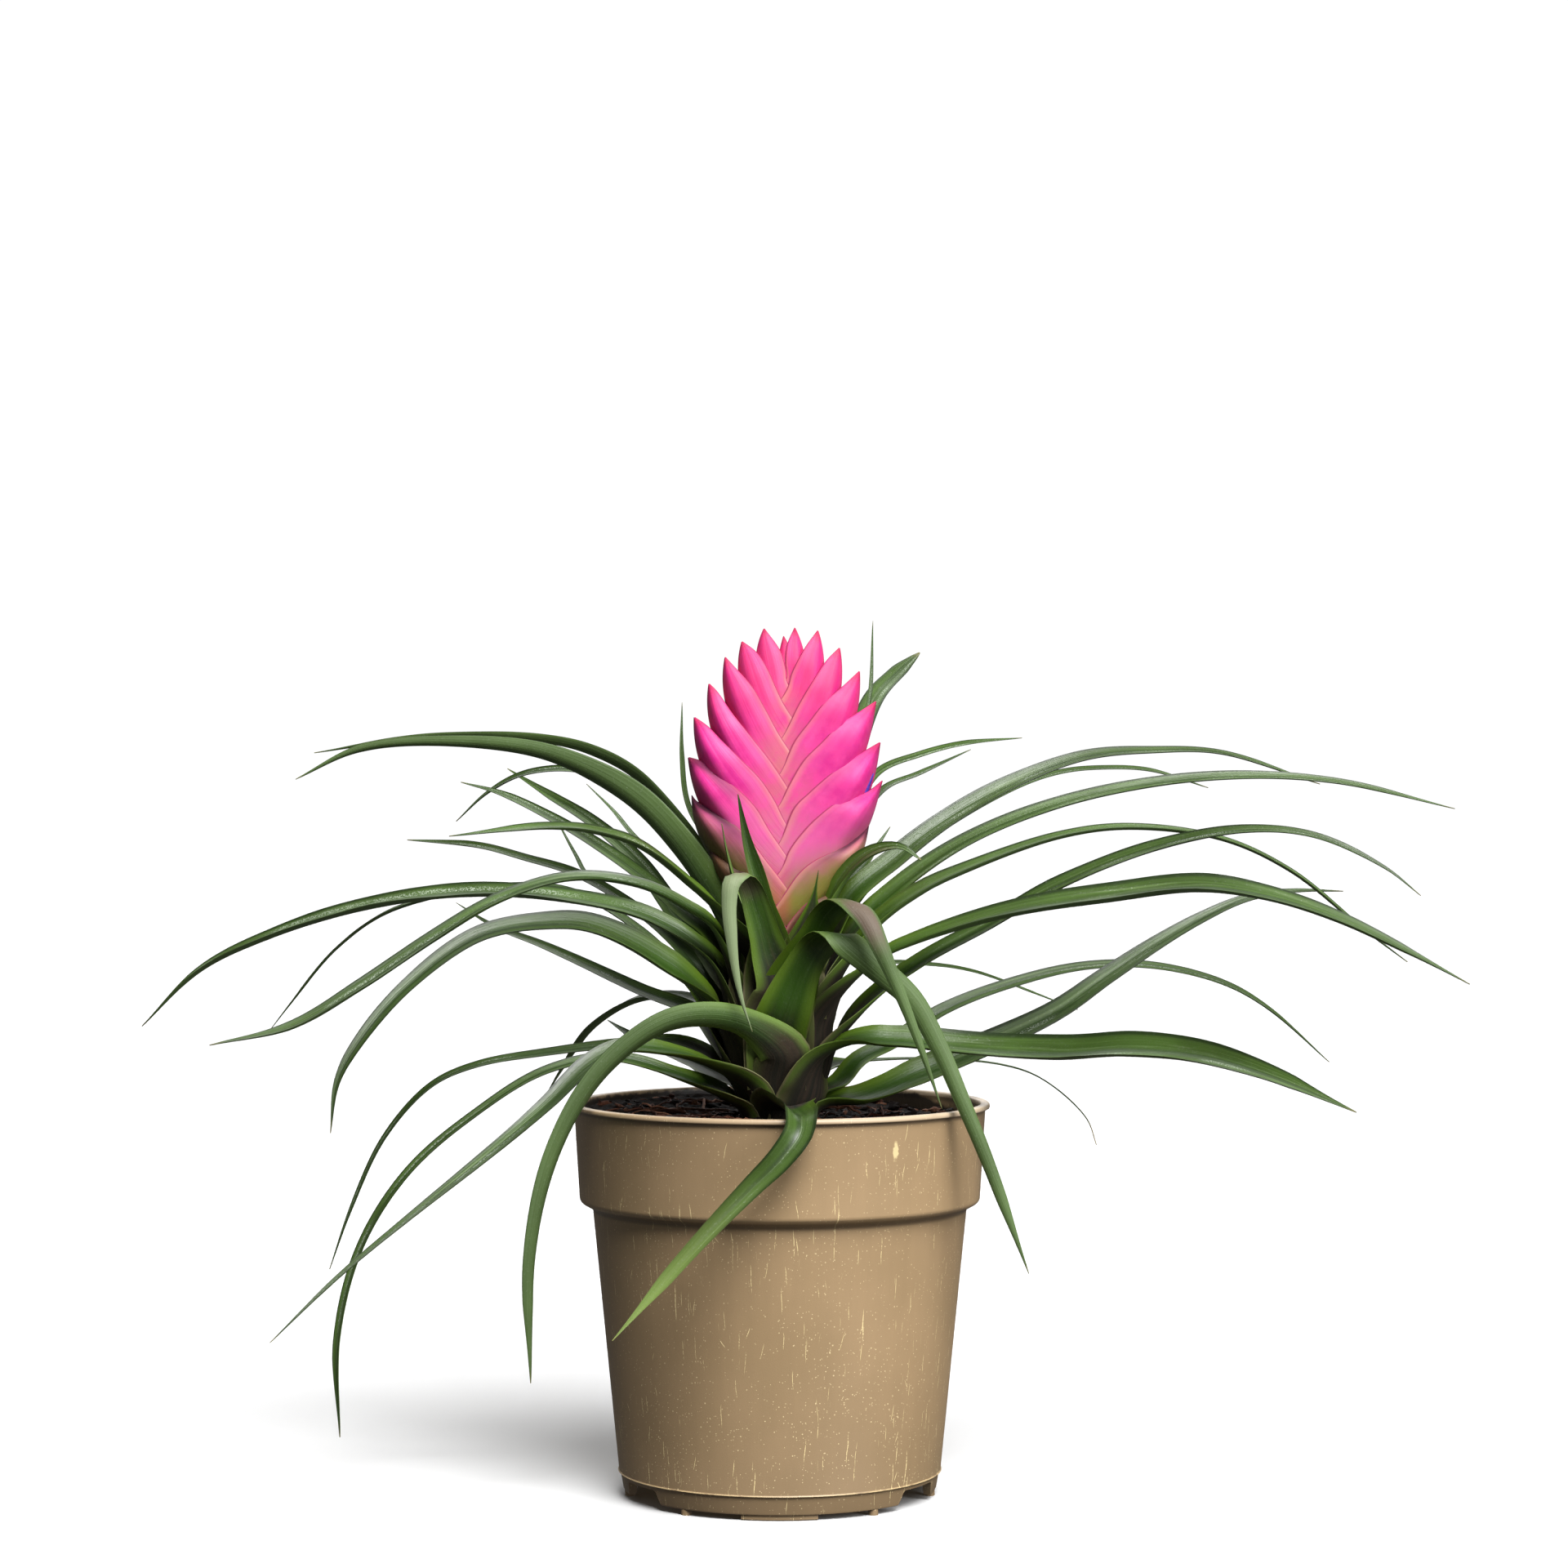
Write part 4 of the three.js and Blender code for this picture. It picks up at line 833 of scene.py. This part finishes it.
def leaf_way(leaf):
    """The leaf's line, each point with its distance from the foot, and the blade's length.
    Distances below the foot, where the sheath runs down the crown, are negative."""
    turn, height = math.radians(leaf["foot"][0]), leaf["foot"][1]
    out = Vector((math.cos(turn), math.sin(turn), 0))
    foot = out * (crown_radius(height) + 1.5) + Vector((0, 0, height))
    hold = [out * (crown_radius(height - drop) + lift) + Vector((0, 0, height - drop))
            for drop, lift in ((11, -0.9), (5.5, 0.5))]
    lengths = [0.0]
    for before, after in zip(leaf["way"], leaf["way"][1:]):
        lengths.append(lengths[-1] + math.hypot(after[0] - before[0], after[1] - before[1]))
    way = []
    for place, length in zip(leaf["way"], lengths):
        depth = place[2] if len(place) > 2 else eased(leaf["depth"], length / lengths[-1])
        way.append(seen(place[0], place[1], depth))
    places = evenly(curve_through([*hold, foot, *way]), BLADE_STEP)
    sheath = min(places, key=lambda place: (place[0] - foot).length)[1]
    return [(point, length - sheath) for point, length in places], places[-1][1] - sheath


def leaf_width(leaf, distance, total):
    """The blade's width at a distance from its foot: broad sheath, long taper, fine tip."""
    t = max(0, distance / total)
    blade = eased(leaf["widths"], t)
    taper = (1 - t) * total / leaf.get("tip", TIP_REACH)
    blade *= 0.12 + 0.88 * taper ** 0.75 if taper < 1 else 1
    clasp = min(1, max(0, 1 - distance / SHEATH_REACH))
    broad = max(blade, leaf.get("sheath", SHEATH_WIDTH))
    return blade + (broad - blade) * clasp * clasp * (3 - 2 * clasp)


def leaf_blade(name, leaf, tint):
    """A closed blade with its attributes: across -1 to 1, span in mm from the foot, part
    from 0 at the foot to 1 at the tip, under 1 on the underside, and the leaf's tint."""
    places, total = leaf_way(leaf)
    turn = math.radians(leaf["foot"][0])
    side = Vector((-math.sin(turn), math.cos(turn), 0))
    points, across, span, under = [], [], [], []
    wave = mix_random.uniform(0, 50)
    for i, (point, distance) in enumerate(places):
        tangent = (places[min(i + 1, len(places) - 1)][0] - places[max(i - 1, 0)][0]).normalized()
        t = max(0, distance / total)
        if "lay" in leaf:
            side = Vector((eased([x for x, _ in leaf["lay"]], t), 0,
                           eased([z for _, z in leaf["lay"]], t)))
        side = (side - tangent * side.dot(tangent)).normalized()
        face = tangent.cross(side)
        roll = leaf.get("roll", ROLL * (math.cos(turn) > 0.5) - ROLL * (math.cos(turn) < -0.5))
        roll *= min(1, max(0, distance / ROLL_REACH))
        twist = math.radians(roll + eased(leaf.get("twist", [0, 0]), t)
                             + 9 * t * noise.noise(Vector((distance * 0.03, wave, 0))))
        level = side * math.cos(twist) + face * math.sin(twist)
        up = face * math.cos(twist) - side * math.sin(twist)
        width = leaf_width(leaf, distance, total)
        channel = leaf.get("channel", CHANNEL)
        channel *= 0.62 + 0.38 * min(1, max(0, distance) / (0.2 * total))
        thick = BLADE_THICKNESS * min(1, 0.3 + width / 5)
        settle = 0.55 * channel * width * min(1, max(0, (distance - 5) / 20))
        for way_down in (1, -1):
            for u in (ACROSS if way_down == 1 else reversed(ACROSS)):
                ripple = 0.05 * width * u * u * noise.noise(Vector((distance * 0.06, u * 2, wave + 9)))
                rise = channel * width * abs(u) ** 1.7 + ripple - settle
                half = thick * (0.5 - 0.36 * abs(u) ** 3)
                points.append(point + level * (u * width / 2) + up * (rise + way_down * half))
                across.append(u)
                span.append(distance)
                under.append(0 if way_down == 1 else 1)
    blade = object_from(name, points, [], tube_faces(len(places), 2 * len(ACROSS)))
    stamp(blade, across=across, span=span, under=under, part=[max(0, s / total) for s in span],
          tint=tint, **{mark: leaf.get(mark, usual) for mark, usual in MARKS.items()})
    faces_outward(blade)
    smooth(blade, 50)
    return blade


green = Finish("living_leaf", Specular_IOR_Level=0.45)
spot = green.place()
across, span, part, turned, under, tint = (green.attribute(name) for name in (
    "across", "span", "part", "turned", "under", "tint"))
under = under * (1 - turned) + (1 - under) * turned
edge = across.math("ABSOLUTE")
veins = green.vector(across * 5.2 + tint * 30.0, span * 0.012, tint * 20.0)
veins = green.speckle(veins, 1.0, 2.0, 0.6)
fine_veins = green.speckle(green.vector(across * 13.0 + tint * 9.0, span * 0.02, tint * 7.0), 1.0, 1.0)
cloud = green.speckle(spot, 0.05, 3.0)
scurf = green.speckle(spot, 2.2, 3.0, 0.75).step(0.55, 0.8)
sheen = green.vector(across * 3.5 + tint * 13.0, span * 0.035, tint * 25.0)
sheen = green.speckle(sheen, 1.0, 3.0, 0.6).step(0.5, 0.75)
line = green.speckle(green.vector(across * 11.0, span * 2.4, tint * 50.0), 1.0, 3.0, 0.7)
reaches = green.speckle(green.vector(span * 0.045, tint * 60.0, 0.0), 1.0, 1.0)
# Painted glints: a line of broken whitish speckles along the blade, away from its foot.
glint = (across + tint * 0.5).math("ABSOLUTE").step(0.26, 0.06) * line.step(0.47, 0.6)
glint = glint * reaches.step(0.46, 0.6)
upper = green.coats(green.mix(cloud.step(0.3, 0.7), "#2f4314", "#3f5821"),
                    (veins.step(0.4, 0.7) * 0.3 + fine_veins.step(0.45, 0.7) * 0.12, "#577335"),
                    # Painted shade: the bottom of the channel and the margins are darkened.
                    (edge.step(0.34, 0.02) * 0.65, "#1a2e0c"),
                    (edge.step(0.7, 0.94) * 0.85, "#17260b"),
                    # A painted sheen lightens the middle of the blade in patches, with painted
                    # highlights on the white scurf there.
                    (sheen * edge.step(0.85, 0.45) * 0.3, "#8a9e70"),
                    (sheen * scurf * edge.step(0.9, 0.5) * 0.5, "#d3dccd"),
                    (glint * span.step(24.0, 48.0) * green.attribute("scurfy") * 0.6, "#c6d1bf"))
lower = green.coats(green.mix(cloud.step(0.3, 0.7), "#465c2a", "#546d35"),
                    (fine_veins.step(0.42, 0.66) * 0.2, "#6f875a"))
maroon = green.coats(green.mix(veins.step(0.35, 0.65), "#0c0605", "#30201a"),
                     (under * cloud.step(0.35, 0.65) * 0.3, "#33271a"),
                     (edge.step(0.5, 0.94) * 0.8, "#4b4a26"))
ragged = green.speckle(green.vector(across * 2.2, span * 0.1, tint * 40.0), 1.0, 3.0) * 14.0
sheath_mask = span + green.attribute("fresh") + ragged + edge.step(0.4, 1.0) * 10.0
sheath_mask = sheath_mask.step(30.0, 13.0)
papery = edge.step(0.9, 0.99) * span.step(14.0, 4.0) * ragged.step(5.0, 9.0)
blushed = part.step(0.36, 0.43) * part.step(0.6, 0.5) * edge.step(1.0, 0.6)
tip = (part + green.attribute("dry") * 0.06).step(0.97, 1.03)
foot_green = green.mix(edge.step(0.35, 0.95), "#284704", "#5a761c")
# Tint darkens or lightens each leaf, at random where the table gives none; the low tints given in the
# table are painted shade.
color = green.darken(green.mix(under, upper, lower), 0.74 + tint * 0.34 + fine_veins * 0.14)
color = green.coats(color,
                    (span.step(42.0, 10.0) * 0.8, foot_green),
                    (sheath_mask * 0.95, maroon),
                    (papery * 0.7, "#70634a"),
                    (green.attribute("blush") * blushed * 0.8, "#66504a"),
                    (green.attribute("pale") * part.step(0.46, 0.54) * 0.6, "#8f9c78"),
                    (green.attribute("ripe") * part.step(0.45, 1.1) * 0.7, "#93a95c"),
                    (scurf * (0.06 + under * 0.1) * span.step(-5.0, 25.0), "#b9c6b0"),
                    (tip * 0.8, "#a08a58"))
green.surface("Base Color", color)
gloss = green.speckle(green.vector(across * 3.0, span * 0.35, tint * 11.0), 1.0, 2.0)
green.surface("Roughness", 0.3 + under * 0.25 + scurf * 0.25 + gloss * 0.16 + sheath_mask * 0.4)
green.relief(veins * 0.8 + fine_veins * 0.35 + scurf * 0.2 + green.speckle(spot, 1.6) * 0.2, 0.12)

leaf_random = random.Random(5)
for group, leaves in LEAVES.items():
    for number, leaf in enumerate(leaves, 1):
        tint = leaf_random.random()
        blade = leaf_blade(f"blade_{group}_{number}", leaf, leaf.get("tint", tint))
        blade.data.materials.append(green.material)
        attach(blade, "root")
        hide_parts(f"leaf_{group}_{number}")


# Flower spike: a flat fan of stiff, folded bracts in two ranks, bright pink, waxy and
# smooth. Each lower bract clasps the ones above it, so its free edge lies on them as a
# fine step. A bract's keel stands at the outside, from its root on the axis to its tip.
SPIKE_LEAN = 1
SPIKE_FOOT = 117
SPIKE_TOP = 186
KEEL_DEPTH = 0.42
# A bract has its tip as the viewer sees it, the height of its root on the axis, how far its
# keel bulges out, how far the keel leans past the tip as its shoulder, its free edge from
# the tip down, and how far its tip is scorched. They run from the top down.
BRACTS = [
    {"tip": (0.8, 184), "root": 160, "shoulder": 2.4, "bulge": 2,
     "edge": [(2.2, 181), (2.4, 176), (1.8, 170)]},
    {"tip": (3.2, 185.8), "root": 158, "shoulder": 4.4, "bulge": 5,
     "edge": [(1.6, 182), (1.2, 178), (1.4, 174.5)]},
    {"tip": (-3.4, 185.6), "root": 158, "shoulder": 4.2, "bulge": 5,
     "edge": [(0.1, 180.6), (1.2, 177), (1.6, 174)]},
    {"tip": (8.2, 185.2), "root": 154, "shoulder": 3.2, "bulge": 8,
     "edge": [(5.8, 181.9), (4.5, 179.7), (2.5, 175.7), (1.6, 172.6)]},
    {"tip": (-8.2, 182.8), "root": 154, "shoulder": 2.6, "bulge": 8,
     "edge": [(-5, 180.3), (-2.5, 176.5), (-0.5, 172), (1, 169)]},
    {"tip": (12.9, 181.5), "root": 150, "shoulder": 1.8, "bulge": 11,
     "edge": [(10, 178.5), (7, 174), (4, 169), (1, 163)]},
    {"tip": (-11.8, 179.5), "root": 149, "shoulder": 2.0, "bulge": 11,
     "edge": [(-10, 177.5), (-6, 173), (-3, 168), (0, 162.5)]},
    {"tip": (17.2, 176.5), "root": 144, "shoulder": 0.6, "bulge": 14,
     "edge": [(13.5, 173), (10, 170), (6, 165), (3, 161), (0.3, 155)]},
    {"tip": (-15.3, 173.8), "root": 143, "shoulder": 1.6, "bulge": 14,
     "edge": [(-13.5, 172), (-10, 167), (-6, 162), (-2, 157), (2, 151)]},
    {"tip": (20.8, 170), "root": 138, "shoulder": -1.4, "bulge": 16.5,
     "edge": [(17, 167.5), (13, 165), (9, 161), (5, 157), (2, 152), (0, 148)]},
    {"tip": (-18.5, 166.6), "root": 137, "shoulder": 0.4, "bulge": 17,
     "edge": [(-15.5, 164.5), (-12, 161), (-8, 157), (-4, 153), (-1, 148.5), (1.2, 144)]},
    {"tip": (21.7, 161.2), "root": 132, "shoulder": -1.2, "bulge": 18.5, "scorch": 0.25,
     "edge": [(18, 159), (14, 156.5), (10, 153.5), (6, 150), (3, 147), (0, 140)]},
    {"tip": (-19.8, 157.9), "root": 131, "shoulder": -0.8, "bulge": 17.5, "scorch": 0.7,
     "edge": [(-17, 157), (-13, 154), (-9, 151), (-5, 147), (-2, 142), (0, 139)]},
    {"tip": (22.2, 153), "root": 126, "shoulder": -2.2, "bulge": 18, "scorch": 0.25,
     "edge": [(19, 150.5), (15, 149), (12, 148), (8, 145), (5, 142), (2, 138), (0.5, 134.5)]},
    {"tip": (-19, 149.9), "root": 125, "bulge": 18, "scorch": 1,
     "edge": [(-18, 148.5), (-13, 145.5), (-9, 143), (-6, 140), (-3, 136), (0.8, 131)]},
    {"tip": (19.2, 143.2), "root": 121, "shoulder": -1, "bulge": 15, "scorch": 1,
     "edge": [(15, 139.5), (11, 137.5), (7, 135.5), (4, 133), (0.5, 128)]},
    {"tip": (-15.5, 139.5), "root": 120, "bulge": 14, "scorch": 0.8,
     "edge": [(-12, 137), (-8, 134), (-4, 129.5), (-1, 125), (1, 122)]},
    {"tip": (12.5, 131), "root": 118.2, "bulge": 10, "scorch": 0.6,
     "edge": [(9, 129), (5, 126), (2, 122.5), (1, 120.8)]},
    {"tip": (-9.5, 129), "root": 118, "bulge": 8, "scorch": 0.6,
     "edge": [(-6, 126.5), (-3, 123), (0, 120.5)]},
]
BRACT_RINGS = 46
BRACT_COLUMNS = [0, 0.04, 0.1, 0.18, 0.28, 0.38, 0.48, 0.58, 0.68, 0.78, 0.86, 0.92, 0.955, 0.98, 1]


def spike_depth(height):
    """Half the spike's depth at a height: slim at the foot, full low down, thin on top."""
    t = min(1, max(0, (height - SPIKE_FOOT) / (SPIKE_TOP - SPIKE_FOOT)))
    return 1 + 4.4 * math.sin(math.pi * min(1, 0.12 + 0.9 * t)) ** 0.7


def bract_mesh(side, bract, order):
    """A closed bract, with attributes: side across from the keel 0 to the free edge 1, and
    along from the root 0 to the tip 1."""
    tip = Vector((*bract["tip"], 0))
    away = 1 if tip.x > SPIKE_LEAN else -1
    root = Vector((SPIKE_LEAN, bract["root"], 0))
    hip = Vector((SPIKE_LEAN + away * bract["bulge"], (bract["root"] * 2 + tip.y) / 3, 0))
    shoulder = tip + Vector((away * bract.get("shoulder", 0), -(tip.y - root.y) * 0.3, 0))
    last = Vector((*bract["edge"][-1], 0))
    edge = [last + Vector((-away * 4, -6, 0)),
            *(Vector((*point, 0)) for point in reversed(bract["edge"])), tip]
    free = [point for point, _ in evenly(curve_through(edge), (edge[-1] - edge[0]).length / 240)]
    points, across, along = [], [], []
    for i in range(BRACT_RINGS + 1):
        t = 0.02 + 0.968 * (i / BRACT_RINGS) ** 0.85
        keel = (root * (1 - t) ** 3 + hip * (3 * t * (1 - t) ** 2) + shoulder * (3 * t * t * (1 - t))
                + tip * t ** 3)
        place = t * (len(free) - 1)
        margin = free[int(place)].lerp(free[min(int(place) + 1, len(free) - 1)], place % 1)
        thin = math.sin(math.pi / 2 * min(1, (1 - t) / 0.4))
        for face in (-1, 1):
            for u in (BRACT_COLUMNS if face == -1 else reversed(BRACT_COLUMNS)):
                spot = keel.lerp(margin, u)
                swell = spike_depth(spot.y) * 0.88 + order * 0.22 - KEEL_DEPTH
                pillow = math.sin(math.pi / 2 * min(1, u / (0.02 + 0.4 * min(1, t / 0.45)))) ** 0.8
                depth = KEEL_DEPTH * (0.35 + 0.65 * min(1, u / 0.04)) + swell * pillow * thin
                depth += 0.14 * math.sin(math.pi * u) * thin
                depth += 0.1 * noise.noise(Vector((spot.x * 0.18, spot.y * 0.12, 5)))
                depth -= 0.13 * max(0, (u - 0.94) / 0.06) ** 2 * min(1, depth)
                points.append((spot.x, face * max(0.05, depth), spot.y))
                across.append(u)
                along.append(t)
    made = object_from(f"bract_{side}_{order}", points, [],
                       tube_faces(BRACT_RINGS + 1, 2 * len(BRACT_COLUMNS)))
    stamp(made, across=across, along=along, scorch=bract.get("scorch", 0), rank=order / len(BRACTS),
          left=int(side == "left"))
    faces_outward(made)
    smooth(made, 60)
    return made


pink = Finish("waxy_pink_bract", Specular_IOR_Level=0.25, Subsurface_Weight=0.12,
              Subsurface_Scale=0.002)
spot = pink.place()
x, _, height = pink.axes(spot)
across, along, scorch, left, rank = (pink.attribute(name) for name in (
    "across", "along", "scorch", "left", "rank"))
mottle = pink.speckle(spot, 0.22, 4.0, 0.6)
blotch = pink.speckle(pink.vector(across * 2.4 + rank * 31.0, along * 3.2, rank * 17.0), 1.0, 3.0)
nerve = pink.speckle(pink.vector(across * 16.0, along * 1.1 + rank * 23.0, rank * 9.0), 1.0, 2.0)
# A painted highlight: a paler streak near the free edge of each bract, stronger on the left.
streak = across.step(0.6, 0.78) * across.step(0.97, 0.86) * along.step(0.15, 0.5)
root_tan = along.step(0.5, 0.05) * mottle.step(0.3, 0.62)
outer = x.math("ABSOLUTE")
low = (height - outer * (0.5 + left * 0.4) + mottle * 5.0).step(139.5, 127.5)
low_color = pink.coats(pink.mix(outer.step(0.6, 3.4), "#98603c", "#767628"),
                       # Painted shade darkens the outer parts of the low bracts at the left, and the
                       # foot of the spike.
                       (left * outer.step(6.0, 12.0) * 0.7, "#4a3620"),
                       (height.step(127.0, 121.0) * 0.8, "#5a4a1c"),
                       (rank.step(0.8, 0.88) * 0.75, "#4c241c"))
charred = (along + blotch * 0.2).step(0.55, 0.88) * across.step(0.5, 0.85)
charred = (along + blotch * 0.12).step(0.85, 0.99) + charred
burn = scorch * charred.math("MINIMUM", 1.0)
edge_tan = across.step(0.82, 0.97) * along.step(0.85, 0.3)
# The dark line on each free edge is partly its own rose margin, partly a painted shadow of the step.
rim = across.step(0.965, 0.985)
color = pink.coats(pink.mix(mottle.step(0.32, 0.68), "#d93b8b", "#c8267f"),
                   (height.step(158.0, 176.0) * 0.75, "#d2346c"),
                   (blotch.step(0.5, 0.72) * 0.5, "#c01a7c"),
                   (streak * (0.1 + left * 0.22), "#ee80b4"),
                   (across.step(0.2, 0.0) * 0.4, "#cf5580"),
                   (nerve.step(0.5, 0.75) * 0.09, "#b81f78"),
                   (root_tan * 0.55, "#c4846e"),
                   (height.step(152.0, 138.0) * 0.4, "#cf6ea2"),
                   (low * 0.95, low_color),
                   (along.step(0.86, 0.98) * 0.75, "#b02048"),
                   (burn * 0.94, "#421a2c"),
                   (edge_tan * 0.45, "#d08f80"),
                   (rim * 0.9, "#962a55"))
pink.surface("Base Color", color)
pink.surface("Roughness", 0.42 + mottle * 0.14 + rim * 0.15 + burn * 0.2)
pink.relief(nerve * 0.6 + mottle * 0.4, 0.1)

for order, bract in enumerate(BRACTS):
    side = "middle" if order == 0 else "right" if bract["tip"][0] > 0 else "left"
    made = bract_mesh(side, bract, order)
    made.data.materials.append(pink.material)
    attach(made, "root")
    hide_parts("flower_spike")


# Flower bud: the closed tip of one violet flower that shows between two bracts at the
# right, with its petals still rolled round each other.
BUD_FOOT = Vector((16.2, -2.6, 147.6))
BUD_TIP = Vector((20.1, -2.6, 154.3))
BUD_GIRTHS = [0.6, 0.85, 1.0, 1.05, 1.0, 0.85, 0.62, 0.36, 0.12]
BUD_RINGS = 36
BUD_SIDES = 36
bud_line = (BUD_TIP - BUD_FOOT).normalized()
bud_side = bud_line.cross(Vector((0, 1, 0))).normalized()
bud_back = bud_line.cross(bud_side)
points = []
for i in range(BUD_RINGS + 1):
    t = i / BUD_RINGS
    for j in range(BUD_SIDES):
        turn = j * math.tau / BUD_SIDES
        petal = 1 - 0.09 * abs(math.sin(1.5 * (turn + t * 3.4))) ** 6
        girth = eased(BUD_GIRTHS, t) * petal
        points.append(BUD_FOOT.lerp(BUD_TIP, t) + bud_side * math.cos(turn) * girth
                      + bud_back * math.sin(turn) * girth)
violet_bud = object_from("violet_bud", points, [], tube_faces(BUD_RINGS + 1, BUD_SIDES))
faces_outward(violet_bud)
smooth(violet_bud, 60)

violet = Finish("violet_petal", Specular_IOR_Level=0.4, Subsurface_Weight=0.1, Subsurface_Scale=0.001)
spot = violet.place()
vein = violet.speckle(spot, 1.4, 3.0)
_, _, height = violet.axes(spot)
color = violet.coats(violet.mix(vein.step(0.35, 0.65), "#3a2488", "#5a3cb4"),
                     (height.step(148.0, 155.0) * 0.6, "#4a1f86"))
violet.surface("Base Color", color)
violet.surface("Roughness", 0.45 + vein * 0.2)
violet.relief(vein, 0.08)
violet_bud.data.materials.append(violet.material)
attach(violet_bud, "root")
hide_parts("flower_bud")
